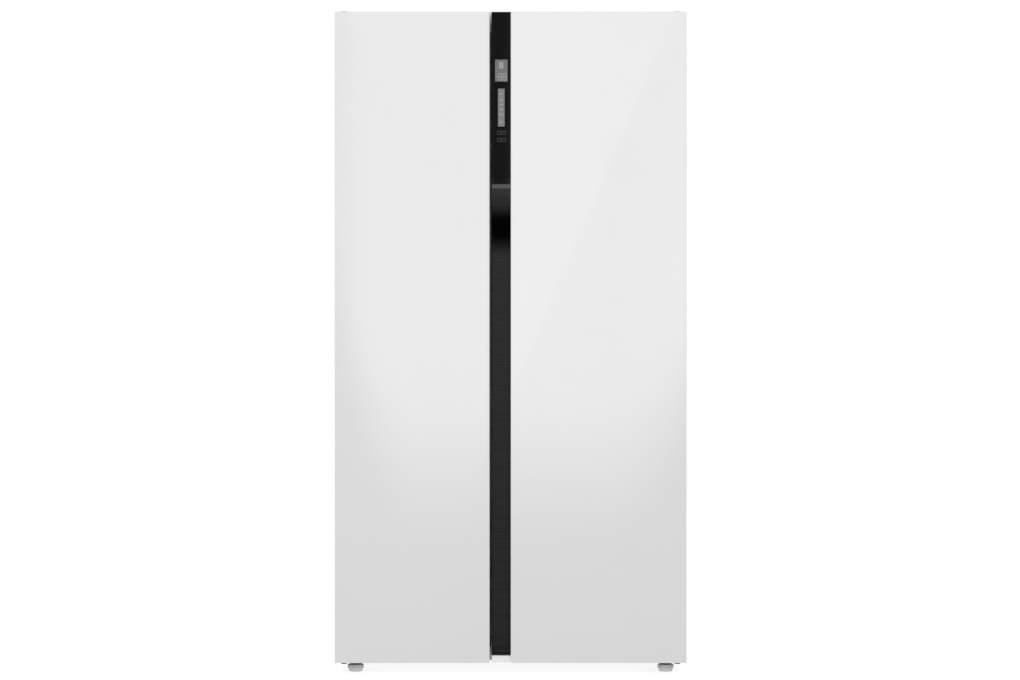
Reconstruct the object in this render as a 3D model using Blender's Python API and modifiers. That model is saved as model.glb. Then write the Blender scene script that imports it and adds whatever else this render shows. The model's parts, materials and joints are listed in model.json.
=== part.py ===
"""Side by side refrigerator with white glass doors, a black handle strip and no-frost cooling.

Metres, +Z up. The origin is on the floor under the middle of the cabinet, and the doors face -Y.
"""

from math import cos, pi, radians, sin

import bmesh
import bpy
from mathutils import Matrix, Vector

# Overall sizes
WIDTH = 0.911
DEPTH = 0.650
DOOR_HEIGHT = 1.686
FLOOR_CLEARANCE = 0.034  # floor to the doors' lower edge
FIT = 0.0003  # between pieces that touch
CUT = 0.02  # how far a cutter runs past what it cuts
WELD = 0.00005  # points of a turned piece's axis closer than this are one

# Doors
FREEZER_DOOR_WIDTH = 0.401
DOOR_GAP = 0.005  # between the two doors
DOOR_THICKNESS = 0.056
DOOR_SHEET = 0.0015
GLASS = 0.004
GLASS_EDGE = 0.0008
DOOR_SIDE_INSET = 0.0005  # door case behind the glass edge
HINGE_INSET = 0.022  # hinge axis from the door's outer side
HINGE_SETBACK = 0.027  # hinge axis behind the glass face
DYKE_HEIGHT = 0.055  # rear ridge of the door liner that holds the bins
DYKE_WIDTH = 0.020
DYKE_DRAFT = 0.003
DYKE_SWING_GAP = 0.025  # ridge to cavity wall on the opening side
DYKE_HINGE_GAP = 0.0075
DYKE_END_GAP = 0.008  # ridge to cavity floor and roof
LINER_DISH = 0.007  # the liner's middle behind the door's rear plane

# Door seals
SEAL_GAP = 0.010  # cabinet front to door rear
SEAL_WIDTH = 0.014
SEAL_HINGE_INSET = 0.030
SEAL_SWING_INSET = 0.010
SEAL_END_INSET = 0.024

# Handle strip on the fridge door and grip trim on the freezer door
STRIP_WIDTH = 0.0495
STRIP_FLOOR = 0.002
STRIP_END_GAP = 0.020  # door bottom to strip bottom
STRIP_END_WALL = 0.004
PANEL_HEIGHT = 0.430
PANEL_THICKNESS = 0.003
PANEL_LIP = 0.006
RAMP_HEIGHT = 0.165
RECESS_DEPTH = 0.0245  # glass face to the channel's floor
RAMP_POINTS = 12
GRIP_REACH = 0.016  # finger room behind the glass edge
GRIP_WALL = 0.002
TRIM_END_GAP_TOP = 0.049
TRIM_END_GAP_BOTTOM = 0.039
TRIM_LIP = 0.0033  # how far the trim's lip stands into the gap between the doors

# Cabinet
CABINET_SIDE_INSET = 0.002
CABINET_RISE = 0.001  # cabinet top above the doors
SHELL = 0.001
BACK_SHEET = 0.0013
SIDE_WALL = 0.044
TOP_WALL = 0.060
REAR_WALL = 0.068
MULLION = 0.056
LINER_SHEET = 0.0015
LINER_BOTTOM = 0.100  # floor to the cavities' floor
LEDGE_WIDTH = 0.009
LEDGE_HEIGHT = 0.008
LEDGE_SETBACK = 0.020  # shelf front to the ledges' front

# Base and machine compartment
BASE_BOTTOM = 0.032
BASE_SHEET = 0.002
BASE_RIM = 0.016
MACHINE_DEPTH = 0.211
MACHINE_HEIGHT = 0.218
MACHINE_WALL = 0.045
MACHINE_COVER = 0.0025
VENT_COUNT = 8
VENT_HEIGHT = 0.006
VENT_PITCH = 0.014
VENT_WIDTH = 0.200
CORD_OUTLET_RADIUS = 0.006
CORD_BOSS_RADIUS = 0.012
CORD_BOSS_DEPTH = 0.008
CORD_OUTLET_INSET = 0.050  # outlet's middle from the cover's side
CORD_OUTLET_DROP = 0.060  # outlet's middle below the cover's middle

# Top and bottom hinges
HINGE_PLATE = 0.003
HINGE_ARM = 0.015
HINGE_BASE_WIDTH = 0.075
HINGE_BASE_DEPTH = 0.085
HINGE_PIN_RADIUS = 0.004
HINGE_PIN_LENGTH = 0.018
HINGE_PIN_CLEARANCE = 0.0006
COVER_SHEET = 0.0016
COVER_DEPTH = 0.100
COVER_HEIGHT = 0.0077
COVER_SIDE_INSET = 0.008

# Feet and rollers
FOOT_INSET = 0.048  # foot axis from the door's outer side
FOOT_SETBACK = 0.090  # foot axis behind the glass face
FOOT_TOP_RADIUS = 0.0205
FOOT_BOTTOM_RADIUS = 0.015
FOOT_HEIGHT = 0.022
FOOT_WAIST_SHARE = 0.7  # height where the taper starts, over the foot's height
STUD_RADIUS = 0.005
STUD_CLEARANCE = 0.0008
STUD_TOP = 0.046
ROLLER_RADIUS = 0.018
ROLLER_WIDTH = 0.022
ROLLER_INSET = 0.070
ROLLER_SETBACK = 0.050
AXLE_RADIUS = 0.004
AXLE_CLEARANCE = 0.0005
EAR = 0.0025
EAR_GAP = 0.0015
EAR_SHARE = 0.6  # an ear's half length over the wheel's radius

# Inside fittings
SHELF = 0.005
SHELF_SIDE_GAP = 0.0015
SHELF_FRONT_SETBACK = 0.124  # cabinet front to shelf front
SHELF_REAR_GAP = 0.008
SHELF_EDGE = 0.001
FREEZER_SHELVES = 3
FRIDGE_SHELVES = 3
DRAWER_WALL = 0.0025
DRAWER_FRONT = 0.010
DRAWER_SIDE_GAP = 0.014  # clears the door's corner as it swings round
DRAWER_FRONT_SETBACK = 0.129
DRAWER_REAR_GAP = 0.010
DRAWER_GAP = 0.012
DRAWER_FLOOR_GAP = 0.004  # lower drawer above the liner's floor
DRAWER_LIP = 0.012
DRAWER_PULL_HEIGHT = 0.022
LOWER_DRAWER_HEIGHT = 0.186
UPPER_DRAWER_HEIGHT = 0.230
FREEZER_BINS = 3
FRIDGE_BINS = 4
BIN_HEIGHT = 0.110
BIN_DEPTH = 0.1105
BIN_WALL = 0.0022
BIN_SIDE_GAP = 0.0015
BIN_LIFT = 0.030  # lowest bin above the ridge's inner floor
BIN_LEDGE = 0.006
DAIRY_LID = 0.0022
DAIRY_LID_RISE = 0.018
DAIRY_LIP_SHARE = 0.6  # the lid's front height over its rise
DAIRY_LID_PIN = 0.003
DAIRY_REAR_GAP = 0.012

# Cooling parts
COVER_PLATE = 0.002
COLD_COVER_DEPTH = 0.074
COLD_SLOTS = 5
COLD_SLOT_HEIGHT = 0.008
COLD_SLOT_PITCH = 0.016
COLD_SLOT_WIDTH = 0.150
DUCT_WIDTH = 0.190
DUCT_DEPTH = 0.030
DUCT_END_GAP = 0.060
DUCT_SLOT_WIDTH = 0.070
EVAPORATOR_WIDTH = 0.280
EVAPORATOR_HEIGHT = 0.220
EVAPORATOR_DEPTH = 0.048
EVAPORATOR_FINS = 24
EVAPORATOR_GAP = 0.008  # cover plate to the fins
EVAPORATOR_LIFT = 0.030  # above the step over the machine compartment
FIN = 0.0012
FAN_RADIUS = 0.052
FAN_HUB_RADIUS = 0.018
FAN_DEPTH = 0.022
FAN_BLADES = 5
FAN_BLADE = 0.0025
FAN_TWIST = 32.0
BLADE_ROOT_SHARE = 0.6  # the blades' root inside the hub, over its radius
FAN_LIFT = 0.030  # blade tips above the evaporator
CONDENSER_FAN_RADIUS = 0.070
CONDENSER_FAN_X = -0.055
CONDENSER_FAN_LIFT = 0.028  # blade tips above the compartment's floor
COMPRESSOR_X = -0.255
COMPRESSOR_RADIUS = 0.076
COMPRESSOR_HEIGHT = 0.160
COMPRESSOR_FOOT = 0.004
COMPRESSOR_DOME = 0.045
COMPRESSOR_DOME_STEPS = 6
COMPRESSOR_BOWL = 0.060
BOWL_SHARE = 0.95  # the bowl's radius halfway down, over the waist's
BOWL_BOTTOM_SHARE = 0.80
FOOT_SHARE = 0.98
CONDENSER_WIDTH = 0.200
CONDENSER_DEPTH = 0.120
CONDENSER_HEIGHT = 0.150
CONDENSER_FINS = 20
CONDENSER_GAP = 0.050  # fan's back to the fins
DRAIN_PAN_HEIGHT = 0.026
DRAIN_PAN_WALL = 0.002
DRAIN_PAN_SHARE = 1.3  # the pan's length over its width

# Twist ice maker
ICE_FRAME_WIDTH = 0.160
ICE_FRAME_DEPTH = 0.250
ICE_FRAME_HEIGHT = 0.105
ICE_FRAME_WALL = 0.002
ICE_FRAME_SETBACK = 0.006  # the knob's back to the frame
ICE_TRAY_WIDTH = 0.124
ICE_TRAY_LENGTH = 0.220
ICE_TRAY_HEIGHT = 0.030
ICE_TRAY_WALL = 0.0015
ICE_END_DROP = 0.4  # end plates below and above the axis, over the tray's height
ICE_END_RISE = 0.6
ICE_CELLS = (2, 6)
ICE_CELL_RIM = 0.004
ICE_CELL_DRAFT = 0.8  # a cell's floor over its mouth
ICE_SHAFT_RADIUS = 0.005
ICE_SHAFT_CLEARANCE = 0.0006
ICE_KNOB_RADIUS = 0.018
ICE_KNOB_LENGTH = 0.012
ICE_PIVOT_DROP = 0.083  # cavity roof to the tray's axis
ICE_ZONE = 0.320  # cavity roof to the shelf under the ice box
ICE_BOX_HEIGHT = 0.130

# Derived places
HALF_WIDTH = WIDTH / 2
GLASS_Y = -DEPTH / 2
REAR_Y = DEPTH / 2
DOOR_BOTTOM = FLOOR_CLEARANCE
DOOR_TOP = DOOR_BOTTOM + DOOR_HEIGHT
DOOR_REAR_Y = GLASS_Y + DOOR_THICKNESS
CABINET_Y = DOOR_REAR_Y + SEAL_GAP
CABINET_HALF = HALF_WIDTH - CABINET_SIDE_INSET
CABINET_TOP = DOOR_TOP + CABINET_RISE
FREEZER_EDGE_X = -HALF_WIDTH + FREEZER_DOOR_WIDTH
FRIDGE_EDGE_X = FREEZER_EDGE_X + DOOR_GAP
STRIP_END_X = FRIDGE_EDGE_X + STRIP_WIDTH
HINGE_X = HALF_WIDTH - HINGE_INSET
HINGE_Y = GLASS_Y + HINGE_SETBACK
MULLION_X = (FREEZER_EDGE_X + FRIDGE_EDGE_X) / 2
CAVITY_TOP = CABINET_TOP - TOP_WALL
CAVITY_REAR = REAR_Y - REAR_WALL
CAVITY_SIDE = CABINET_HALF - SIDE_WALL
FREEZER_X = (-CAVITY_SIDE, MULLION_X - MULLION / 2)
FRIDGE_X = (MULLION_X + MULLION / 2, CAVITY_SIDE)
FOAM_Y = CABINET_Y + SHELL + FIT
BASE_FLOOR = BASE_BOTTOM + BASE_SHEET
MACHINE_Y = REAR_Y - MACHINE_DEPTH
MACHINE_TOP = BASE_FLOOR + MACHINE_HEIGHT
STEP_Y = MACHINE_Y - MACHINE_WALL
STEP_Z = MACHINE_TOP + MACHINE_WALL
COLD_COVER_Y = CAVITY_REAR - COLD_COVER_DEPTH
DUCT_Y = CAVITY_REAR - DUCT_DEPTH
SHELF_Y = CABINET_Y + SHELF_FRONT_SETBACK
DRAWER_Y = CABINET_Y + DRAWER_FRONT_SETBACK
LOWER_DRAWER_Z = LINER_BOTTOM + DRAWER_FLOOR_GAP
LOWER_DRAWER_TOP = LOWER_DRAWER_Z + LOWER_DRAWER_HEIGHT
UPPER_DRAWER_Z = max(STEP_Z + LEDGE_HEIGHT, LOWER_DRAWER_TOP) + DRAWER_GAP
DRAWER_COVER_Z = UPPER_DRAWER_Z + UPPER_DRAWER_HEIGHT + DRAWER_GAP
ICE_SHELF_Z = CAVITY_TOP - ICE_ZONE
ICE_AXIS_Z = CAVITY_TOP - ICE_PIVOT_DROP
RECESS_Y = GLASS_Y + RECESS_DEPTH
STRIP_REAR_Y = RECESS_Y + STRIP_FLOOR
DYKE_BOTTOM = LINER_BOTTOM + DYKE_END_GAP
DYKE_TOP = CAVITY_TOP - DYKE_END_GAP
BIN_FLOOR = DYKE_BOTTOM + DYKE_WIDTH + BIN_LIFT
BIN_ROOM = DYKE_TOP - DYKE_WIDTH - BIN_FLOOR

for leftover in list(bpy.data.objects):
    bpy.data.objects.remove(leftover)

PARTS = bpy.data.collections.new("side_by_side_refrigerator")
CUTTERS = bpy.data.collections.new("cutters")
bpy.context.scene.collection.children.link(PARTS)
bpy.context.scene.collection.children.link(CUTTERS)


def material(name, colour, roughness, metallic=0.0):
    """A Principled material."""
    made = bpy.data.materials.new(name)
    made.use_nodes = True
    shader = made.node_tree.nodes["Principled BSDF"]
    shader.inputs["Base Color"].default_value = (*colour, 1.0)
    shader.inputs["Roughness"].default_value = roughness
    shader.inputs["Metallic"].default_value = metallic
    return made


WHITE_PAINT = material("white_paint", (0.80, 0.80, 0.79), 0.35)
WHITE_GLASS = material("white_glass", (0.86, 0.87, 0.87), 0.06)
WHITE_PLASTIC = material("white_plastic", (0.78, 0.79, 0.79), 0.30)
BLACK_GLOSS = material("black_gloss", (0.012, 0.012, 0.013), 0.08)
BLACK_BRUSHED = material("black_brushed", (0.030, 0.030, 0.031), 0.30, 0.6)
SEAL_RUBBER = material("seal_rubber", (0.62, 0.63, 0.63), 0.60)
FOAM = material("foam", (0.80, 0.70, 0.45), 0.90)
STEEL = material("zinc_steel", (0.55, 0.56, 0.57), 0.35, 1.0)
DARK_PAINT = material("dark_paint", (0.02, 0.02, 0.022), 0.45)
ALUMINIUM = material("aluminium", (0.72, 0.73, 0.74), 0.35, 1.0)
CLEAR_GLASS = material("clear_glass", (0.75, 0.82, 0.80), 0.05)
CLEAR_PLASTIC = material("clear_plastic", (0.72, 0.78, 0.80), 0.12)
GREY_PLASTIC = material("grey_plastic", (0.45, 0.46, 0.47), 0.45)
FROST_PLASTIC = material("frost_plastic", (0.66, 0.72, 0.76), 0.25)


def new_object(name, bm):
    """An object made from a bmesh, with its origin at the middle of its box."""
    low = Vector([min(v.co[i] for v in bm.verts) for i in range(3)])
    high = Vector([max(v.co[i] for v in bm.verts) for i in range(3)])
    middle = (low + high) / 2
    bmesh.ops.translate(bm, vec=-middle, verts=bm.verts)
    mesh = bpy.data.meshes.new(name)
    bm.to_mesh(mesh)
    bm.free()
    made = bpy.data.objects.new(name, mesh)
    made.location = middle
    PARTS.objects.link(made)
    bpy.context.view_layer.update()
    return made


def box(name, low, high):
    """A block between two corners."""
    bm = bmesh.new()
    bmesh.ops.create_cube(bm, size=1.0)
    bmesh.ops.scale(bm, vec=[b - a for a, b in zip(low, high)], verts=bm.verts)
    bmesh.ops.translate(bm, vec=[(a + b) / 2 for a, b in zip(low, high)], verts=bm.verts)
    return new_object(name, bm)


def cylinder(name, centre, radius, length, axis, end_radius=None, sides=24):
    """A round bar, or a cone, centred on a point and lying along an axis."""
    bm = bmesh.new()
    bmesh.ops.create_cone(
        bm,
        cap_ends=True,
        segments=sides,
        radius1=radius,
        radius2=radius if end_radius is None else end_radius,
        depth=length,
    )
    turn = Vector((0, 0, 1)).rotation_difference(Vector(axis)).to_matrix().to_4x4()
    bmesh.ops.transform(bm, matrix=Matrix.Translation(centre) @ turn, verts=bm.verts)
    return new_object(name, bm)


def outline(name, points, along, low, high):
    """A flat outline carried along an axis: points are (y, z) along X, (x, z) along Y or (x, y) along Z."""
    curve = bpy.data.curves.new(name, "CURVE")
    curve.dimensions = "2D"
    curve.fill_mode = "BOTH"
    curve.extrude = (high - low) / 2
    spline = curve.splines.new("POLY")
    spline.points.add(len(points) - 1)
    for point, (across, up) in zip(spline.points, points):
        point.co = (across, up, 0.0, 1.0)
    spline.use_cyclic_u = True
    drawn = bpy.data.objects.new(name, curve)
    PARTS.objects.link(drawn)
    bpy.context.view_layer.update()
    mesh = bpy.data.meshes.new_from_object(drawn.evaluated_get(bpy.context.evaluated_depsgraph_get()))
    bpy.data.objects.remove(drawn)
    middle = (low + high) / 2
    places = {
        "X": Matrix(((0, 0, 1, middle), (1, 0, 0, 0), (0, 1, 0, 0), (0, 0, 0, 1))),
        "Y": Matrix(((1, 0, 0, 0), (0, 0, 1, middle), (0, 1, 0, 0), (0, 0, 0, 1))),
        "Z": Matrix.Translation((0, 0, middle)),
    }
    bm = bmesh.new()
    bm.from_mesh(mesh)
    bmesh.ops.remove_doubles(bm, verts=bm.verts, dist=1e-6)
    bmesh.ops.transform(bm, matrix=places[along], verts=bm.verts)
    bmesh.ops.recalc_face_normals(bm, faces=bm.faces)
    return new_object(name, bm)


def combine(target, tool, operation):
    """A live Boolean between two pieces; the tool is kept aside, hidden."""
    change = target.modifiers.new(tool.name, "BOOLEAN")
    change.operation = operation
    change.solver = "EXACT"
    change.object = tool
    PARTS.objects.unlink(tool)
    CUTTERS.objects.link(tool)
    tool.hide_render = True
    tool.display_type = "WIRE"
    return target


def cut(target, tool):
    return combine(target, tool, "DIFFERENCE")


def join(target, tool):
    return combine(target, tool, "UNION")


def settle(target):
    """The piece's modifiers made part of its mesh."""
    bpy.context.view_layer.update()
    mesh = bpy.data.meshes.new_from_object(target.evaluated_get(bpy.context.evaluated_depsgraph_get()))
    target.modifiers.clear()
    target.data = mesh
    return target


def open_side(target, axis, side, thickness):
    """A solid made a shell: the faces at one end of an axis go, and the rest gets a wall."""
    settle(target)
    bm = bmesh.new()
    bm.from_mesh(target.data)
    end = side * max(side * v.co[axis] for v in bm.verts)
    gone = [f for f in bm.faces if all(abs(v.co[axis] - end) < 1e-6 for v in f.verts)]
    bmesh.ops.delete(bm, geom=gone, context="FACES")
    bm.to_mesh(target.data)
    bm.free()
    wall = target.modifiers.new("wall", "SOLIDIFY")
    wall.thickness = thickness
    wall.offset = -1.0
    wall.use_even_offset = True
    return target


def bevel(target, width, segments=1, angle=30.0):
    edge = target.modifiers.new("edges", "BEVEL")
    edge.width = width
    edge.segments = segments
    edge.limit_method = "ANGLE"
    edge.angle_limit = radians(angle)
    return target


def finish(target, look, smooth=False):
    """The piece's material, and smooth shading on round pieces."""
    target.data.materials.clear()
    target.data.materials.append(look)
    if smooth:
        target.data.shade_smooth()
        target.data.set_sharp_from_angle(angle=radians(35))
    return target


def pivot(name, point):
    """An empty on a joint's axis."""
    made = bpy.data.objects.new(name, None)
    made.empty_display_size = 0.05
    made.location = point
    PARTS.objects.link(made)
    return made


def carry(axis_point, *pieces):
    """Pieces parented to an empty, left where they are."""
    for piece in pieces:
        piece.parent = axis_point
        piece.location = piece.location - axis_point.location


def move_origin(target, point):
    """The piece's origin moved onto its joint's axis, with its shape left in place."""
    settle(target)
    shift = target.location - Vector(point)
    target.data.transform(Matrix.Translation(shift))
    target.location = point
    return target


# Cabinet


def cavity_outline(front, grow=0.0):
    """Side view of a cavity with its step over the machine compartment, grown on every wall."""
    return [
        (front, LINER_BOTTOM - grow),
        (STEP_Y + grow, LINER_BOTTOM - grow),
        (STEP_Y + grow, STEP_Z - grow),
        (CAVITY_REAR + grow, STEP_Z - grow),
        (CAVITY_REAR + grow, CAVITY_TOP + grow),
        (front, CAVITY_TOP + grow),
    ]


def make_cabinet_shell():
    """Folded steel wrapper: two sides, the top and a front flange the door seals close on."""
    side_flange = SIDE_WALL - LINER_SHEET - FIT
    top_flange = TOP_WALL - LINER_SHEET - FIT
    shell = box(
        "cabinet_shell", (-CABINET_HALF, CABINET_Y, BASE_BOTTOM), (CABINET_HALF, REAR_Y, CABINET_TOP)
    )
    inner = CABINET_HALF - SHELL
    cut(
        shell,
        box(
            "shell_inside",
            (-inner, CABINET_Y + SHELL, BASE_BOTTOM - CUT),
            (inner, REAR_Y + CUT, CABINET_TOP - SHELL),
        ),
    )
    mouth = CABINET_HALF - side_flange
    cut(
        shell,
        box(
            "shell_mouth",
            (-mouth, CABINET_Y - CUT, BASE_BOTTOM - CUT),
            (mouth, CABINET_Y + SHELL + CUT, CABINET_TOP - top_flange),
        ),
    )
    return finish(shell, WHITE_PAINT)


def make_back_panel():
    side = CABINET_HALF - SHELL - FIT
    panel = box(
        "back_panel",
        (-side, REAR_Y - BACK_SHEET, MACHINE_TOP + FIT),
        (side, REAR_Y, CABINET_TOP - SHELL - FIT),
    )
    return finish(panel, WHITE_PAINT)


def roller_places():
    return [side * (HALF_WIDTH - ROLLER_INSET) for side in (-1, 1)]


def foot_places():
    return [side * (HALF_WIDTH - FOOT_INSET) for side in (-1, 1)]


def make_base_pan():
    """Steel base: a rimmed floor, the front wall under the cavities, and two ears for each roller."""
    side = CABINET_HALF - SHELL - FIT
    rear = REAR_Y - MACHINE_COVER - FIT
    wall_top = LINER_BOTTOM - LINER_SHEET - 2 * FIT
    profile = [
        (FOAM_Y, BASE_BOTTOM),
        (rear, BASE_BOTTOM),
        (rear, BASE_BOTTOM + BASE_RIM),
        (FOAM_Y + BASE_SHEET, BASE_BOTTOM + BASE_RIM),
        (FOAM_Y + BASE_SHEET, wall_top),
        (FOAM_Y, wall_top),
    ]
    pan = outline("base_pan", profile, "X", -side, side)
    for ear in roller_ears():
        join(pan, ear)
    inner = side - BASE_SHEET
    low = (-inner, FOAM_Y + BASE_SHEET, BASE_FLOOR)
    high = (inner, rear - BASE_SHEET, BASE_BOTTOM + BASE_RIM + CUT)
    cut(pan, box("pan_inside", low, high))
    axle_hole = AXLE_RADIUS + AXLE_CLEARANCE
    for x in roller_places():
        reach = (ROLLER_WIDTH + EAR_GAP) / 2
        y = REAR_Y - ROLLER_SETBACK
        well = ROLLER_RADIUS + EAR_GAP
        cut(pan, box("roller_well", (x - reach, y - well, 0.0), (x + reach, y + well, BASE_FLOOR + CUT)))
        length = ROLLER_WIDTH + 2 * (EAR + EAR_GAP) + CUT
        centre = (x, REAR_Y - ROLLER_SETBACK, ROLLER_RADIUS)
        cut(pan, cylinder("axle_hole", centre, axle_hole, length, (1, 0, 0)))
    stud_hole = STUD_RADIUS + STUD_CLEARANCE
    for x in foot_places():
        centre = (x, GLASS_Y + FOOT_SETBACK, BASE_FLOOR)
        cut(pan, cylinder("stud_hole", centre, stud_hole, CUT, (0, 0, 1)))
    return finish(pan, STEEL)


def roller_ears():
    ears = []
    low = ROLLER_RADIUS - AXLE_RADIUS - AXLE_CLEARANCE - EAR
    for x in roller_places():
        for side in (-1, 1):
            near = x + side * (ROLLER_WIDTH / 2 + EAR_GAP)
            far = near + side * EAR
            y = REAR_Y - ROLLER_SETBACK
            reach = ROLLER_RADIUS * EAR_SHARE
            ears.append(
                box(
                    "roller_ear",
                    (min(near, far), y - reach, low),
                    (max(near, far), y + reach, BASE_FLOOR - BASE_SHEET / 2),
                )
            )
    return ears


def make_insulation():
    """One foam body with both cavities and the step over the machine compartment."""
    side = CABINET_HALF - SHELL - FIT
    bottom = BASE_BOTTOM + BASE_RIM + FIT
    top = CABINET_TOP - SHELL - FIT
    rear = REAR_Y - BACK_SHEET - FIT
    foam = outline(
        "insulation",
        [
            (FOAM_Y, LINER_BOTTOM - LINER_SHEET - FIT),
            (FOAM_Y + BASE_SHEET + FIT, LINER_BOTTOM - LINER_SHEET - FIT),
            (FOAM_Y + BASE_SHEET + FIT, bottom),
            (MACHINE_Y, bottom),
            (MACHINE_Y, MACHINE_TOP),
            (rear, MACHINE_TOP),
            (rear, top),
            (FOAM_Y, top),
        ],
        "X",
        -side,
        side,
    )
    grow = LINER_SHEET + FIT
    for name, (low, high) in (("freezer", FREEZER_X), ("fridge", FRIDGE_X)):
        profile = cavity_outline(FOAM_Y - CUT, grow)
        cut(foam, outline(name + "_room", profile, "X", low - grow, high + grow))
    return finish(foam, FOAM)


def ledge(name, x, inward, z, rear):
    """A moulded shelf ledge on a cavity's side wall, rooted half way into the liner's sheet."""
    root = x - inward * LINER_SHEET / 2
    tip = x + inward * LEDGE_WIDTH
    front = SHELF_Y + LEDGE_SETBACK
    return box(name, (min(root, tip), front, z - LEDGE_HEIGHT), (max(root, tip), rear, z))


def make_liner(name, sides, ledge_heights, ledge_rear):
    """Formed plastic liner, open at the front, with a pair of ledges under each shelf and drawer."""
    low, high = sides
    profile = cavity_outline(FOAM_Y, LINER_SHEET)
    liner = outline(name, profile, "X", low - LINER_SHEET, high + LINER_SHEET)
    cut(liner, outline(name + "_room", cavity_outline(FOAM_Y - CUT), "X", low, high))
    for z in ledge_heights:
        join(liner, ledge(name + "_ledge", low, 1, z - FIT, ledge_rear))
        join(liner, ledge(name + "_ledge", high, -1, z - FIT, ledge_rear))
    return finish(liner, WHITE_PLASTIC)


def make_center_rail():
    """Painted strip over the mullion's front, between the two liners."""
    rail = box(
        "center_rail",
        (FREEZER_X[1] + LINER_SHEET + FIT, CABINET_Y, LINER_BOTTOM - LINER_SHEET + FIT),
        (FRIDGE_X[0] - LINER_SHEET - FIT, CABINET_Y + SHELL, CAVITY_TOP + LINER_SHEET - FIT),
    )
    return finish(rail, WHITE_PAINT)


# Hinges, feet and rollers


def hinge_plan(side, inner_edge, reach):
    """Plan of a hinge plate: a wide base under or over the cabinet and a narrow arm out to the pin."""
    half = HINGE_ARM / 2
    tip = [
        (side * (HINGE_X + half * cos(a)), HINGE_Y + half * sin(a))
        for a in [-pi * step / 8 for step in range(9)]
    ]
    back = CABINET_Y + reach
    return tip + [
        (side * (HINGE_X - half), CABINET_Y),
        (side * inner_edge, CABINET_Y),
        (side * inner_edge, back),
        (side * (HINGE_X + half), back),
    ]


def make_top_hinge(side):
    name = "top_hinge_right" if side > 0 else "top_hinge_left"
    low = CABINET_TOP + FIT
    plan = hinge_plan(side, HINGE_X + HINGE_ARM / 2 - HINGE_BASE_WIDTH, HINGE_BASE_DEPTH)
    plate = outline(name, plan, "Z", low, low + HINGE_PLATE)
    middle = low + HINGE_PLATE / 2 - HINGE_PIN_LENGTH / 2
    pin = cylinder("pin", (side * HINGE_X, HINGE_Y, middle), HINGE_PIN_RADIUS, HINGE_PIN_LENGTH, (0, 0, 1))
    return finish(join(plate, pin), STEEL, smooth=True)


def make_bottom_hinge(side):
    """Bracket under the base that carries the door's lower pin and the foot's nut."""
    name = "bottom_hinge_right" if side > 0 else "bottom_hinge_left"
    high = BASE_BOTTOM - FIT
    plan = hinge_plan(side, HINGE_X + HINGE_ARM / 2 - HINGE_BASE_WIDTH, HINGE_BASE_DEPTH)
    plate = outline(name, plan, "Z", high - HINGE_PLATE, high)
    middle = high - HINGE_PLATE / 2 + HINGE_PIN_LENGTH / 2
    join(
        plate,
        cylinder("pin", (side * HINGE_X, HINGE_Y, middle), HINGE_PIN_RADIUS, HINGE_PIN_LENGTH, (0, 0, 1)),
    )
    centre = (side * (HALF_WIDTH - FOOT_INSET), GLASS_Y + FOOT_SETBACK, high)
    cut(plate, cylinder("nut_hole", centre, STUD_RADIUS + STUD_CLEARANCE, CUT, (0, 0, 1)))
    return finish(plate, STEEL, smooth=True)


def make_hinge_cover():
    """Low full-width cover over both top hinges and the door wiring."""
    half = CABINET_HALF - COVER_SIDE_INSET
    low = CABINET_TOP + FIT
    front = CABINET_Y - SEAL_GAP / 4
    cover = box(
        "hinge_cover",
        (-half, front, low),
        (half, CABINET_Y + COVER_DEPTH, CABINET_TOP + COVER_HEIGHT),
    )
    settle(open_side(cover, 2, -1, COVER_SHEET))
    room = HINGE_ARM / 2 + 2 * FIT
    for side in (-1, 1):
        x = side * HINGE_X
        tool = box(
            "arm_way",
            (x - room, front - CUT, CABINET_TOP - CUT),
            (x + room, front + COVER_SHEET + CUT / 2, low + HINGE_PLATE + FIT),
        )
        cut(cover, tool)
    return finish(cover, WHITE_PLASTIC)


def make_leveling_foot(side):
    """Turned foot: a tapered knurled disc under a threaded stud."""
    name = "leveling_foot_right" if side > 0 else "leveling_foot_left"
    x = side * (HALF_WIDTH - FOOT_INSET)
    y = GLASS_Y + FOOT_SETBACK
    profile = [
        (0.0, STUD_TOP),
        (STUD_RADIUS, STUD_TOP),
        (STUD_RADIUS, FOOT_HEIGHT),
        (FOOT_TOP_RADIUS, FOOT_HEIGHT),
        (FOOT_TOP_RADIUS, FOOT_HEIGHT * FOOT_WAIST_SHARE),
        (FOOT_BOTTOM_RADIUS, 0.0),
        (0.0, 0.0),
    ]
    foot = turned(name, profile, 24)
    foot.location = (x, y, 0.0)
    return finish(foot, GREY_PLASTIC, smooth=True)


def turned(name, profile, steps):
    """A profile of (radius, height), top to bottom, turned about Z with a Screw."""
    mesh = bpy.data.meshes.new(name)
    bm = bmesh.new()
    points = [bm.verts.new((radius, 0.0, height)) for radius, height in profile]
    for above, below in zip(points, points[1:]):
        bm.edges.new((above, below))
    bm.to_mesh(mesh)
    bm.free()
    made = bpy.data.objects.new(name, mesh)
    PARTS.objects.link(made)
    screw = made.modifiers.new("turn", "SCREW")
    screw.axis = "Z"
    screw.steps = steps
    screw.render_steps = steps
    screw.use_merge_vertices = True
    screw.merge_threshold = WELD
    screw.use_smooth_shade = True
    return made


def make_rear_roller(side):
    """Roller on its own axle, which turns in the base pan's ears."""
    name = "rear_roller_right" if side > 0 else "rear_roller_left"
    centre = (side * (HALF_WIDTH - ROLLER_INSET), REAR_Y - ROLLER_SETBACK, ROLLER_RADIUS)
    wheel = cylinder(name, centre, ROLLER_RADIUS, ROLLER_WIDTH, (1, 0, 0), sides=32)
    length = ROLLER_WIDTH + 2 * (EAR + EAR_GAP) + 2 * EAR_GAP
    join(wheel, cylinder("axle", centre, AXLE_RADIUS, length, (1, 0, 0)))
    return finish(wheel, GREY_PLASTIC, smooth=True)


# Doors


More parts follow.
